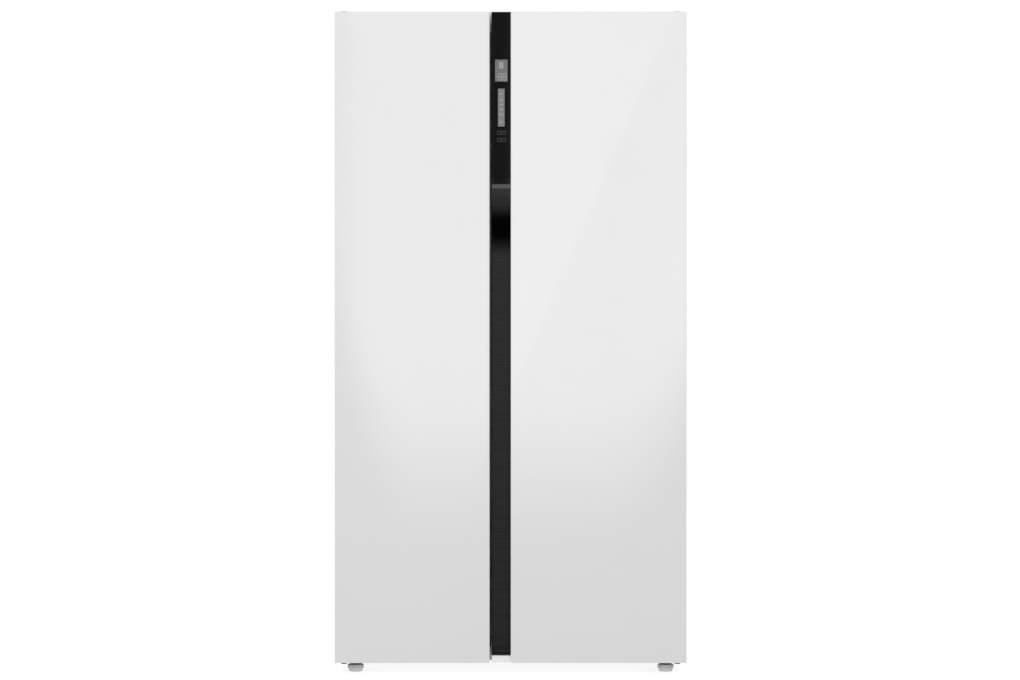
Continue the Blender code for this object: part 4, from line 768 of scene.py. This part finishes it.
def make_door_glass():
    """Two painted glass panels with ground, rounded edges."""
    for node, corner in (("freezer_door_glass", GLASS_CORNER), ("fridge_door_glass", STRIP_CORNER)):
        low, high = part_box(node)
        front = plate(low, high, (corner, GLASS_CORNER, GLASS_CORNER, GLASS_CORNER), PANEL_EDGE)
        piece(node + "_panel", [(front, "white_glass")], [node])


def strip_section():
    """Side view of the hand strip: seat, a smooth double curve down to the channel, and foot wall."""
    low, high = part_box("handle_strip")
    panel_low, panel_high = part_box("control_panel")
    back = panel_high.y + THIN
    lip = panel_low.z - 0.0003
    floor = high.y - STRIP_FLOOR
    points = [(back, high.z), (back, lip), (low.y + 0.0012, lip - 0.0004), (low.y + 0.0004, lip - 0.0016)]
    points += [(low.y + 0.0004, lip - 0.0035), (low.y + 0.0004, RAMP_TOP + 0.003)]
    start, steps = RAMP_TOP + 0.001, 40
    for step in range(1, steps + 1):
        share = step / steps
        y = low.y + (floor - low.y) * (1 - cos(pi * share)) / 2
        points.append((y, start - (start - RAMP_BOTTOM) * share))
    points += [(floor, low.z + 0.010), (floor - 0.002, low.z + 0.0062), (floor - 0.006, low.z + 0.0045)]
    points += [(low.y + 0.006, low.z + 0.004), (low.y + 0.0015, low.z + 0.0033)]
    points += [(low.y + 0.0005, low.z + 0.0015), (low.y + 0.0015, low.z), (high.y, low.z), (high.y, high.z)]
    return points


def make_strip():
    """Hand strip with a finger pocket behind the glass, and the gloss display panel above it."""
    low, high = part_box("handle_strip")
    glass_low, glass_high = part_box("fridge_door_glass")
    panel_low, panel_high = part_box("control_panel")
    seam, rear = glass_low.x - 0.0004, high.y - STRIP_FLOOR
    front, lap = glass_high.y + 0.0002, rear + 0.0002
    parts = [(prism(strip_section(), low.x, glass_low.x - 0.0003), "black_brushed")]
    for start, end in (
        ((seam, rear, low.z), (high.x, high.y, high.z)),
        ((high.x - 0.002, front, low.z), (high.x, lap, high.z)),
        ((seam, front, RAMP_TOP), (high.x - 0.001, lap, high.z)),
        ((seam, front, low.z), (high.x - 0.001, lap, low.z + 0.004)),
    ):
        parts.append((block(start, end, WRAP_EDGE), "black_satin"))
    x0, x1, y1 = low.x + 0.0004, glass_low.x - 0.0006, low.y + 0.003
    # Rounded bead along the curve's top: its shape catches the gloss, and its lighter grey is a painted
    # highlight
    line = block((x0, low.y, RAMP_TOP - 0.002), (x1, y1, RAMP_TOP + 0.010), 0.0012, 3)
    band = block((x0, low.y, RAMP_TOP + 0.0102), (x1, y1, panel_low.z - 0.0004), 0.0004)
    parts += [(line, "bead_painted_highlight"), (band, "black_gloss")]
    piece("hand_strip", parts, ["handle_strip"])
    panel = plate(panel_low, panel_high, (0.0008, 0.0008, 0.0015, 0.0025), 0.0006)
    piece("display_panel", [(panel, "black_gloss")], ["control_panel"])


MARK_RISE = 0.0002
DIGIT_WIDTH = 0.0100
DIGIT_HEIGHT = 0.0186
DIGIT_BAR = 0.0016


def mark(x0, drop0, x1, drop1, look, rise=MARK_RISE, radius=0.0002):
    """Thin printed shape on the display panel, measured from the panel's top left corner."""
    low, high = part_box("control_panel")
    y = low.y + 0.00002
    start, end = (low.x + x0, y - rise, high.z - drop0), (low.x + x1, y, high.z - drop1)
    return plate(start, end, radius, 0.00003, steps=2), look


def centred(x, drop, wide, tall, look, rise=MARK_RISE, radius=0.0002):
    return mark(x - wide, drop + tall, x + wide, drop - tall, look, rise, radius)


def digit(x, drop):
    """Seven-bar figure eight."""
    parts = []
    bar, look = DIGIT_BAR, "display_mark"
    for level in (0.0, 0.5, 1.0):
        foot = drop - (DIGIT_HEIGHT - bar) * level
        sides = (x + bar * 0.8, foot, x + DIGIT_WIDTH - bar * 0.8, foot - bar)
        parts.append(mark(*sides, look, radius=bar * 0.4))
    for side in (x, x + DIGIT_WIDTH - bar):
        for start in (bar * 0.7, DIGIT_HEIGHT / 2 + bar * 0.25):
            end = start + DIGIT_HEIGHT / 2 - bar * 0.95
            parts.append(mark(side, drop - start, side + bar, drop - end, look, radius=bar * 0.4))
    return parts


def make_display():
    """Lit window with two storage bars and two figures, a touch column and two framed keys."""
    window = [mark(0.0092, 0.1804, 0.0415, 0.1237, "display_back", 0.0001, 0.0006)]
    for x in (0.0200, 0.0258):
        window.append(mark(x, 0.1468, x + 0.0044, 0.1300, "display_mark"))
    window.append(mark(0.0112, 0.1683, 0.0150, 0.1668, "display_mark"))
    for x in (0.0170, 0.0290):
        window += digit(x, 0.1776)
    column = [mark(0.0168, 0.2968, 0.0338, 0.1988, "touch_back", 0.0001, 0.0004)]
    for number, drop in enumerate((0.2125, 0.2285, 0.2400, 0.2530, 0.2655, 0.2860)):
        wide, tall = (0.0026, 0.0024) if number % 2 else (0.0050, 0.0010)
        column.append(centred(0.0253, drop, wide, tall, "display_mark"))
        column.append(centred(0.0253, drop, 0.0012, 0.0022, "display_mark", radius=0.0008))
    keys = []
    x0, x1, tall, line, rise = 0.0148, 0.0365, 0.0095, 0.0008, 0.00012
    for top in (0.3082, 0.3265):
        foot = top + tall
        for sides in (
            (x0, top + line, x1, top), (x0, foot, x1, foot - line),
            (x0, foot - line, x0 + line, top + line), (x1 - line, foot - line, x1, top + line),
        ):
            keys.append(mark(*sides, "display_line", rise))
        for step in (-0.0032, 0.0, 0.0032):
            middle = (x0 + x1) / 2 + step
            keys.append(centred(middle, (top + foot) / 2, 0.0011, 0.0012, "display_line", rise, 0.0008))
    for name, parts in (("display_window", window), ("touch_column", column), ("framed_keys", keys)):
        piece(name, parts, body="fridge_door")


def gasket(node):
    """Magnetic gasket: a folded bellows between a foot on the door and a flat magnet bar."""
    low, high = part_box(node)
    section = [
        (0.0015, 0.0), (0.0125, 0.0), (0.0130, 0.08), (0.0120, 0.16), (0.0098, 0.22), (0.0104, 0.32),
        (0.0126, 0.40), (0.0104, 0.50), (0.0112, 0.58), (0.0136, 0.64), (0.0140, 0.74), (0.0140, 0.92),
        (0.0134, 1.0), (0.0006, 1.0), (0.0, 0.92), (0.0, 0.74), (0.0004, 0.64), (0.0028, 0.58),
        (0.0036, 0.50), (0.0014, 0.40), (0.0036, 0.32), (0.0042, 0.22), (0.0020, 0.16), (0.0010, 0.08),
    ]
    rings = []
    for inset, share in section:
        y = low.y + (high.y - low.y) * share
        flat = rounded_rectangle(low.xz, high.xz, inset, 0.006 - inset * 0.3, 3)
        rings.append([(x, y, z) for x, z in flat])
    piece(node + "_bellows", [(loft(rings, closed=True), "seal_rubber")], [node])


def make_door_backs():
    """Door cases, vacuum-formed inner liners with softened ridges, and gaskets."""
    for side in ("freezer", "fridge"):
        node = side + "_door_case"
        cad_piece(side + "_door_wrap", node, "white_paint", 0.0007)
        node = side + "_door_liner"
        face_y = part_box(node)[0].y + 0.0085

        def on_show(edge):
            return max(v.co.y for v in edge.verts) > face_y and edge.calc_length() > 0.004

        cad_piece(side + "_door_inner", node, "liner_plastic", 0.0012, 2, on_show)
        gasket(side + "_door_seal")
    cad_piece("freezer_grip_channel", "freezer_grip_trim", "black_satin")


BIN_RIBS = 18


def make_bins():
    """Clear door bins with a white band along the front, and the lid of the dairy bin."""
    for side, numbers in (("freezer", (1, 2, 3)), ("fridge", (1, 2, 3, 4))):
        for number in numbers:
            node = "%s_bin_%d" % (side, number)
            low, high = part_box(node)
            shell = basin(low, high, 0.0022, 0.014, 0.0012, 0.0012, 0.008, 0.006)
            rib = block((0, -0.0004, 0), (0.0012, 0.0, high.z - low.z - 0.045), WRAP_EDGE, 1)
            y, z = high.y - 0.0009, low.z + 0.016
            ribs = row_of(rib, "clear_plastic", (low.x + 0.03, y, z), (high.x - 0.03, y, z), BIN_RIBS)
            piece(node + "_bin", [(shell, "clear_plastic"), ribs], [node])
            place = between(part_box(node), (0.010, -0.010), (-0.0009, 0), (-0.024, -0.0075))
            band = plate(*place, 0.003, 0.0004, front=1)
            piece(node + "_band", [(band, "white_plastic")], body=side + "_door")
    pull = between(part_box("dairy_lid"), (0.14, -0.14), (-0.0016, 0), (0.0012, 0.0055))
    parts = [(softened("dairy_lid", 0.0007), "clear_plastic"), (block(*pull, 0.0007), "clear_plastic")]
    piece("dairy_flap", parts, ["dairy_lid"])


# ---- cabinet


BACK_BEADS = 7
BACK_SCREWS = 7
LOUVRE_STEP = (0, 0, 0.014)
LOUVRES = 8
FOOT_RIBS = 28
THREAD_PITCH = 0.00125


def make_cabinet():
    """Folded steel shell, beaded back panel, base, mullion cover and hinge cover."""
    keep("white_paint", "cabinet_shell")
    keep("foam", "insulation", "freezer_door_foam", "fridge_door_foam")
    low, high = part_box("back_panel")
    sheet = block(*between((low, high), y=(0, -0.0006)), WRAP_EDGE)
    bead = plate((-0.30, high.y - 0.0009, 0), (0.30, high.y, 0.013), 0.006, 0.0008, front=1)
    start, end = (0, 0, low.z + 0.17), (0, 0, high.z - 0.19)
    parts = [(sheet, "white_paint"), row_of(bead, "white_paint", start, end, BACK_BEADS)]
    seat = high.y - 0.0007
    for spots in (
        ((low.x + 0.012, seat, low.z + 0.03), 2, (high.x - low.x - 0.024, 0, 0),
         BACK_SCREWS, (0, 0, (high.z - low.z - 0.06) / (BACK_SCREWS - 1))),
        ((low.x + 0.12, seat, high.z - 0.012), 5, ((high.x - low.x - 0.24) / 4, 0, 0)),
    ):
        parts.append(grid(screw_part(0.0007), "zinc_steel", *spots))
    piece("back_sheet", parts, ["back_panel"])

    def on_top(edge):
        return max(v.co.z for v in edge.verts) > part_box("hinge_cover")[1].z - 0.0017

    cad_piece("base_tray", "base_pan", "zinc_steel", 0.0005)
    cad_piece("mullion_cover", "center_rail", "white_paint", WRAP_EDGE)
    cad_piece("hinge_bar_cover", "hinge_cover", "white_plastic", 0.0012, 3, on_top)


def make_hinges():
    """Hinge brackets with bolts, levelling feet and rear rollers."""
    bolt_shape = [(0.0055, 0.0), (0.0055, -0.0016), (0.0048, -0.0022), (0.0, -0.0022)]
    for side in ("left", "right"):
        node = "top_hinge_" + side
        cad_piece(node + "_bracket", node, "zinc_steel")
        node = "bottom_hinge_" + side
        low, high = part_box(node)
        inner = low.x + 0.018 if side == "right" else high.x - 0.018
        start, step = (inner, -0.236, low.z + 0.0032), (0, 0.036, 0)
        bolts = grid(turned(bolt_shape, sides=6), "zinc_steel", start, rows=2, row_step=step)
        piece(node + "_bracket", [(softened(node), "dark_paint"), bolts], [node], slot="zinc_steel")
        make_foot("leveling_foot_" + side)
        make_roller("rear_roller_" + side)


def make_foot(node):
    """Levelling foot: a ribbed moulded pad on a threaded stud."""
    low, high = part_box(node)
    centre = Vector(((low.x + high.x) / 2, (low.y + high.y) / 2, 0.0))
    radius = (high.x - low.x) / 2
    pad = [(0.0, 0.0), (0.80, 0.0), (0.86, 0.0006), (0.93, 0.0075), (0.95, 0.0085), (0.95, 0.0178)]
    pad += [(0.90, 0.0186), (0.45, 0.0190), (0.0, 0.0190)]
    rib = block((-0.0012, -0.0011, 0.009), (0.0012 + radius * 0.02, 0.0011, 0.0172), 0.0004, 1)
    stud = [(0.0, 0.0180)]
    core, top = 0.0048, high.z - 0.0006
    z = 0.0192
    while z + THREAD_PITCH < top:
        stud += [(core, z), (core + 0.0007, z + THREAD_PITCH * 0.5)]
        z += THREAD_PITCH
    stud += [(core, top), (core * 0.8, high.z), (0.0, high.z)]
    parts = [
        (turned([(radius * share, z) for share, z in pad], centre, sides=48), "foot_plastic"),
        ring(rib, "foot_plastic", FOOT_RIBS, radius * 0.96, centre),
        (turned(stud, centre, sides=24), "zinc_steel"),
    ]
    piece(node + "_pad", parts, [node])


def make_roller(node):
    """Moulded rear roller with a grooved tread, a hub and an axle pin."""
    low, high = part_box(node)
    radius, half = (high.z - low.z) / 2, (high.x - low.x) / 2
    tread = half * 0.66
    hub, rim, lip = radius * 0.66, radius * 0.86, radius * 0.9
    near = [(0.0, -half), (0.0032, -half), (0.0036, -half + 0.0004), (0.0036, -tread)]
    near += [(radius * 0.6, -tread), (hub, -tread + 0.002), (rim, -tread + 0.002), (lip, -tread)]
    near += [(radius * 0.97, -tread), (radius, -tread + 0.0008)]
    grooves = []
    for middle in (-tread / 2, 0.0, tread / 2):
        for side, depth in ((-0.0012, 0.0), (-0.0006, 0.0012), (0.0006, 0.0012), (0.0012, 0.0)):
            grooves.append((radius - depth, middle + side))
    profile = near + grooves + [(r, -x) for r, x in near[::-1]]
    wheel = turned(profile, (low + high) / 2, "X", 48)
    piece(node + "_wheel", [(wheel, "grey_plastic")], [node])


def make_machine_cover():
    """Rear cover with slanted louvres in its two vents, and screws."""
    low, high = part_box("machine_cover")
    parts = [(softened("machine_cover", 0.0004), "grey_plastic")]
    section = [(0.3175, -0.0008), (0.3183, -0.0014), (0.3236, 0.0010), (0.3228, 0.0018)]
    for middle in (-0.2261, 0.2261):
        blade = prism(section, middle - 0.0995, middle + 0.0995)
        parts.append(grid(blade, "grey_plastic", (0, 0, 0.0795), rows=LOUVRES, row_step=LOUVRE_STEP))
    seat = high.y - 0.00245
    for spots in (
        ((low.x + 0.016, seat, low.z + 0.015), 2, (high.x - low.x - 0.032, 0, 0), 2, (0, 0, 0.19)),
        ((-0.08, seat, high.z - 0.018), 2, (0.16, 0, 0)),
    ):
        parts.append(grid(screw_part(0.0012), "zinc_steel", *spots))
    piece("machine_cover_sheet", parts, ["machine_cover"])


# ---- compartments

LINERS = ("freezer_liner", "fridge_liner")


def make_liners():
    """Vacuum-formed compartment liners with filleted corners."""
    for node in LINERS:
        low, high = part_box(node)

        def corner(edge):
            inside = all(
                low.x + 0.001 < v.co.x < high.x - 0.001 and low.z + 0.0005 < v.co.z < high.z - 0.001
                and v.co.y < high.y - 0.0005 for v in edge.verts
            )
            return inside and not edge.is_convex and edge.calc_length() > 0.12

        cad_piece(node + "_skin", node, "liner_plastic", 0.0045, 4, corner)


def make_lamps():
    """Lamp under the top of each compartment."""
    for node in LINERS:
        low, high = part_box(node)
        x, z = (low.x + high.x) / 2, high.z - 0.0016
        base = block((x - 0.062, -0.222, z - 0.0030), (x + 0.062, -0.182, z), 0.0012)
        lens = block((x - 0.056, -0.217, z - 0.0062), (x + 0.056, -0.187, z - 0.0026), 0.0016, 3)
        parts = [(base, "white_plastic"), (lens, "lamp")]
        piece(node.replace("liner", "lamp"), parts, body="cabinet", slot="frost_plastic")


def make_shelves():
    """Glass shelves with a white front rail and side rails."""
    nodes = ["%s_shelf_%d" % (side, n) for side in ("freezer", "fridge") for n in (1, 2, 3)]
    for node in nodes + ["crisper_cover"]:
        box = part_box(node)
        pane = between(box, (0.002, -0.002), (0.003, -0.002), (0.0007, -0.0006))
        glass = plate(*pane, 0.004, 0.0006, axis="Z", front=1)
        piece(node + "_glass", [(glass, "clear_glass")], [node])
        rails = [block(*between(box, y=(0, 0.014)), 0.0016, 3)]
        rails.append(block(*between(box, (0.001, -0.001), (-0.009, 0)), 0.0012))
        for side in ((0, 0.0075), (-0.0075, 0)):
            rails.append(block(*between(box, side, (0.006, -0.004), (0, -0.0002)), 0.001))
        piece(node + "_rails", [(rail, "white_plastic") for rail in rails], body="cabinet")


DRAWER_RIBS = 12
DRAWER_LIP = (
    (0.0100, 0.022), (0.0012, 0.0255), (0.0, 0.0245), (0.0, 0.0085), (0.0015, 0.0058), (0.0100, 0.0050)
)


def make_drawers():
    """Moulded drawers with a thick front, a grip lip, a rolled rim and stiffening ribs."""
    for kind, look in (("crisper", "clear_plastic"), ("freezer_drawer", "frost_plastic")):
        for node in (kind + "_upper", kind + "_lower"):
            low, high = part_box(node)
            shell = basin(*between((low, high), y=(0.0205, 0)), 0.0025, 0.016, 0.003, 0.003, 0.010)
            front = between((low, high), (0.0005, -0.0005), (0.0095, 0.0225), (0.002, -0.002))
            face = plate(*front, 0.010, 0.003, steps=5)
            lip = [(low.y + depth, high.z - drop) for depth, drop in DRAWER_LIP]
            grip = prism(lip, low.x + 0.018, high.x - 0.018, SOFT_EDGE)
            rib = block((-0.0006, 0, 0), (0.0006, 0.0012, high.z - low.z - 0.075), WRAP_EDGE, 1)
            y, z = low.y + 0.0088, low.z + 0.018
            ribs = row_of(rib, look, (low.x + 0.045, y, z), (high.x - 0.045, y, z), DRAWER_RIBS)
            parts = [(shell, look), (face, look), (grip, "white_plastic"), ribs]
            piece(node + "_tub", parts, [node])


def make_covers():
    """Cold-air covers with raised louvre lips and two long beads."""
    look = "liner_plastic"
    for node, lines, wide, count in (
        ("freezer_back_cover", (0.7185, 1.1095, 1.465), 0.150, 5),
        ("fridge_air_duct", (0.7147, 0.9603, 1.2358, 1.4813), 0.070, 2),
    ):
        low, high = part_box(node)
        parts = [(softened(node), look)]
        start, end = (low.x + high.x) / 2 - wide / 2, (low.x + high.x) / 2 + wide / 2
        section = [(low.y - 0.0012, 0.0), (low.y + 0.0012, -0.0014), (low.y + 0.0012, 0.0006)]
        for line in lines:
            lip = prism(section, start, end)
            parts.append(grid(lip, look, (0, 0, line + 0.0084), rows=count, row_step=(0, 0, 0.016)))
        for x in (low.x + 0.022, high.x - 0.022):
            ends = (x - 0.004, low.y - 0.0012, low.z + 0.05), (x + 0.004, low.y + 0.001, high.z - 0.06)
            parts.append((plate(*ends, 0.0035, 0.001), look))
        piece(node + "_panel", parts, [node])


def make_ice_maker():
    """Ice store, its frame with a turning knob, and a twist tray with rounded cells."""
    store = basin(*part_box("ice_box"), 0.0022, 0.010, 0.0015, 0.002, 0.006)
    piece("ice_store", [(store, "clear_plastic")], ["ice_box"])
    cad_piece("ice_frame", "ice_maker_frame", "white_plastic")
    cad_piece("ice_twist_tray", "ice_tray", "frost_plastic", 0.0008)


# ---- cooling parts


BLADES = 7
HUB_SHARE = 0.30
POT_SHARE = (0.86, 0.80)
POT_SQUARENESS = 2.6


def make_fan(node, axis, turn):
    """Fan with a domed hub and swept, twisted blades."""
    low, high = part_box(node)
    centre, size = (low + high) / 2, high - low
    radius = size.z / 2
    depth = (size.x if axis == "X" else size.y) * 0.92
    hub = radius * HUB_SHARE
    root, steps = hub * 0.92, 8
    outline = ((-1, 0), (-0.5, 1), (0.2, 1.2), (0.8, 0.8), (1, 0), (0.8, -0.4), (0.2, -0.5), (-0.5, -0.5))
    rings = []
    for step in range(steps + 1):
        share = step / steps
        r = root + (radius * 0.985 - root) * share
        sweep, pitch = 0.42 * share * share, radians(38 - 14 * share)
        chord = r * (0.62 + 0.12 * share) * 0.9
        reach = min(chord * sin(pitch), depth * 0.94) / 2
        section = []
        for across, thick in outline:
            angle = sweep + across * chord * cos(pitch) / 2 / r
            section.append((r * cos(angle) - radius, r * sin(angle), across * reach + thick * 0.0005))
        rings.append(section)
    blades = ring(loft(rings), "dark_plastic", BLADES, radius, centre, turn)
    profile = [(0.0, -1), (0.75, -1), (1, -0.7), (1, 0.6), (0.8, 0.9), (0.35, 1), (0.0, 1)]
    middle = turned([(hub * r, depth / 2 * x) for r, x in profile], centre, axis)
    piece(node + "_rotor", [blades, (middle, "dark_plastic")], [node])


def make_compressor():
    """Pressed steel pot in two halves with a weld bead, feet, a wiring box and pipe stubs."""
    low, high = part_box("compressor")
    centre, size = (low + high) / 2, high - low
    sides, power = 40, POT_SQUARENESS
    rings = []
    for height, share in (
        (0.02, 0.30), (0.05, 0.62), (0.11, 0.86), (0.2, 0.97), (0.5, 1.0), (0.545, 1.0), (0.55, 1.03),
        (0.575, 1.03), (0.58, 0.99), (0.82, 0.93), (0.91, 0.80), (0.97, 0.55), (1.0, 0.2),
    ):
        points = []
        for i in range(sides):
            c, s = cos(2 * pi * i / sides), sin(2 * pi * i / sides)
            bulge = share * (abs(c) ** power + abs(s) ** power) ** (-1 / power) / 2
            x = centre.x + size.x * POT_SHARE[0] * bulge * c
            y = centre.y + size.y * POT_SHARE[1] * bulge * s
            points.append((x, y, low.z + size.z * height * 0.97))
        rings.append(points)
    foot = [(0.0, 0.0), (0.011, 0.0), (0.012, 0.003), (0.009, 0.006), (0.009, 0.010)]
    foot += [(0.012, 0.013), (0.0, 0.014)]
    start, steps = (low.x + 0.015, low.y + 0.015, low.z), ((size.x - 0.03, 0, 0), (0, size.y - 0.03, 0))
    ends = between((low, high), (0.004, -0.004), (0.004, -0.004), (0.0125, 0.0150))
    box = (high.x - 0.018, centre.y - 0.026, low.z + 0.060), (high.x, centre.y + 0.026, low.z + 0.115)
    parts = [
        (loft(rings), "dark_paint"),
        grid(turned(foot, sides=20), "dark_plastic", start, 2, steps[0], 2, steps[1]),
        (plate(*ends, 0.012, 0.0006, axis="Z", front=1), "dark_paint"),
        (block(*box, 0.004, 3), "dark_plastic"),
    ]
    x, z = low.x + 0.006, low.z + 0.080
    for y in (centre.y - 0.02, centre.y + 0.02):
        parts.append(tube([(x + 0.03, y, z), (x, y, z), (x, y, high.z - 0.004)], "copper", 0.003, 0.010))
    piece("compressor_pot", parts, ["compressor"])


def make_exchanger(node, look, tubes, fins):
    """Heat exchanger: thin plate fins on bent tubes between two end plates."""
    low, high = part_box(node)
    size = high - low
    fin = block((0, 0.001, 0.001), (0.0005, size.y - 0.001, size.z - 0.001), 0.0001, 1)
    parts = [row_of(fin, look, (low.x + 0.020, low.y, low.z), (high.x - 0.020, low.y, low.z), fins)]
    for share in (0.30, 0.70):
        path, y = [], low.y + size.y * share
        for number in range(tubes):
            z = low.z + 0.014 + (size.z - 0.028) * number / (tubes - 1)
            ends = [(low.x + 0.0045, y, z), (high.x - 0.0045, y, z)]
            path += ends[::-1] if number % 2 else ends
        parts.append(tube(path, look, 0.004, 0.006))
    for side in ((0.012, 0.0135), (-0.0135, -0.012)):
        parts.append((block(*between((low, high), side), 0.0004), "aluminium"))
    piece(node + "_core", parts, [node])


def make_cooling():
    make_fan("evaporator_fan", "Y", (radians(90), 0, 0))
    make_fan("condenser_fan", "X", (0, radians(90), 0))
    make_compressor()
    make_exchanger("condenser", "dark_paint", 9, 46)
    make_exchanger("evaporator", "aluminium", 11, 54)
    pan = basin(*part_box("drain_pan"), 0.002, 0.012, 0.002, 0.002, 0.005)
    piece("drain_dish", [(pan, "grey_plastic")], ["drain_pan"])


# ---- studio


def flat_sheet(name, corners, look):
    mesh = bpy.data.meshes.new(name)
    mesh.from_pydata(corners, [], [tuple(range(len(corners)))])
    mesh.materials.append(look)
    made = place_object(name, mesh)
    return made


def make_floor():
    """Pale glowing floor that fades into the white backdrop."""
    look, board, shader = new_look("floor")
    half = FLOOR_SIZE / 2
    corners = [(-half, -half, 0), (half, -half, 0), (half, half, 0), (-half, half, 0)]
    flat_sheet("floor", corners, look).visible_glossy = False
    board.wire(shader, {
        "Base Color": FLOOR_COLOUR,
        "Roughness": board.grain(3.0, Low=0.55, High=0.65)["Value"],
        "Specular IOR Level": 0.0,
        "Emission Color": WHITE,
        "Emission Strength": FLOOR_GLOW,
    })


def make_sky():
    """White backdrop with softer light from low down than from above."""
    world = bpy.data.worlds.new("studio")
    scene.world = world
    world.use_nodes = True
    board = Board(world.node_tree)
    world.node_tree.nodes.clear()
    rise = board.split(board.add("ShaderNodeTexCoord").outputs["Generated"])["Z"]
    level = board.spread(rise, -0.1, 0.9, SKY_LOW, SKY_HIGH, smooth=True)
    seen = board.add("ShaderNodeLightPath").outputs["Is Camera Ray"]
    lights = [
        board.add("ShaderNodeBackground", {"Color": WHITE, "Strength": power}).outputs[0]
        for power in (level, BACKDROP)
    ]
    mixed = board.add("ShaderNodeMixShader", {0: seen, 1: lights[0], 2: lights[1]})
    board.add("ShaderNodeOutputWorld", {0: mixed.outputs[0]})


def make_card():
    """Large reflector behind the camera, seen only in the gloss: bright above, dark below."""
    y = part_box("fridge_door_glass")[0].y - CARD_DISTANCE
    w = CARD_HALF_WIDTH
    look = bpy.data.materials.new("reflector")
    look.use_nodes = True
    card = flat_sheet(
        "reflector", [(-w, y, CARD_LOW), (w, y, CARD_LOW), (w, y, CARD_HIGH), (-w, y, CARD_HIGH)], look
    )
    for kind in ("camera", "diffuse", "shadow", "transmission"):
        setattr(card, "visible_" + kind, False)
    board = Board(look.node_tree)
    look.node_tree.nodes.clear()
    spot = board.split(board.place())
    x, z = spot["X"], spot["Z"]
    # Horizon that falls away to both sides, more steeply on the left
    aside = board.math("MAXIMUM", board.less(board.math("ABSOLUTE", x), 0.5), 0.0)
    horizon = board.times(board.times(aside, aside), board.spread(x, -0.1, 0.1, *CARD_LEAN))
    level = board.spread(board.less(z, horizon), -0.42, 0.62, 0.0, 1.0, smooth=True)
    # Slow darkening to the top and to both sides, and one slanting lighter band
    top = board.spread(z, 0.5, 2.6, 0.0, 0.75, smooth=True)
    side = board.spread(x, -1.02, -0.80, 1.1, 0.0, smooth=True)
    slope = board.less(x, board.times(z, BAND_SLOPE))
    diagonal = board.spread(slope, -0.237, -0.223, 0.0, 0.6, smooth=True)
    right_edge = board.spread(x, 0.6, 0.95, 0.0, 0.35)
    right_side = board.math("ADD", board.spread(x, -0.1, 0.0, 0.0, 0.75), right_edge)
    shade = board.math("ADD", board.math("ADD", top, side), board.less(diagonal, right_side))
    bright = board.times(board.less(CARD_GLOW, shade), level)
    # Black flag across the middle, which the hand strip mirrors
    flag = board.times(board.spread(x, -0.135, -0.118, 0.0, 1.0), board.spread(x, -0.006, 0.010, 1.0, 0.0))
    power = board.math("MAXIMUM", board.times(bright, board.less(1.0, flag)), CARD_DARK)
    glow = board.add("ShaderNodeEmission", {"Color": WHITE, "Strength": power})
    board.add("ShaderNodeOutputMaterial", {0: glow.outputs[0]})


def add_lamp(name, place, power):
    data = bpy.data.lights.new(name, "AREA")
    data.shape = "RECTANGLE"
    data.size = data.size_y = LAMP_SIZE
    data.energy = power
    lamp = place_object(name, data)
    lamp.location = place
    lamp.rotation_euler = (Vector(LAMP_AIM) - Vector(place)).to_track_quat("-Z", "Y").to_euler()
    lamp.visible_camera = False
    lamp.visible_glossy = False


make_door_glass()
make_strip()
make_display()
make_door_backs()
make_bins()
make_cabinet()
make_hinges()
make_machine_cover()
make_liners()
make_lamps()
make_shelves()
make_drawers()
make_covers()
make_ice_maker()
make_cooling()
make_floor()
make_sky()
make_card()
add_lamp("key", (-1.6, -5.2, 2.9), 78)
add_lamp("rear_fill", (1.8, 5.0, 2.9), 70)
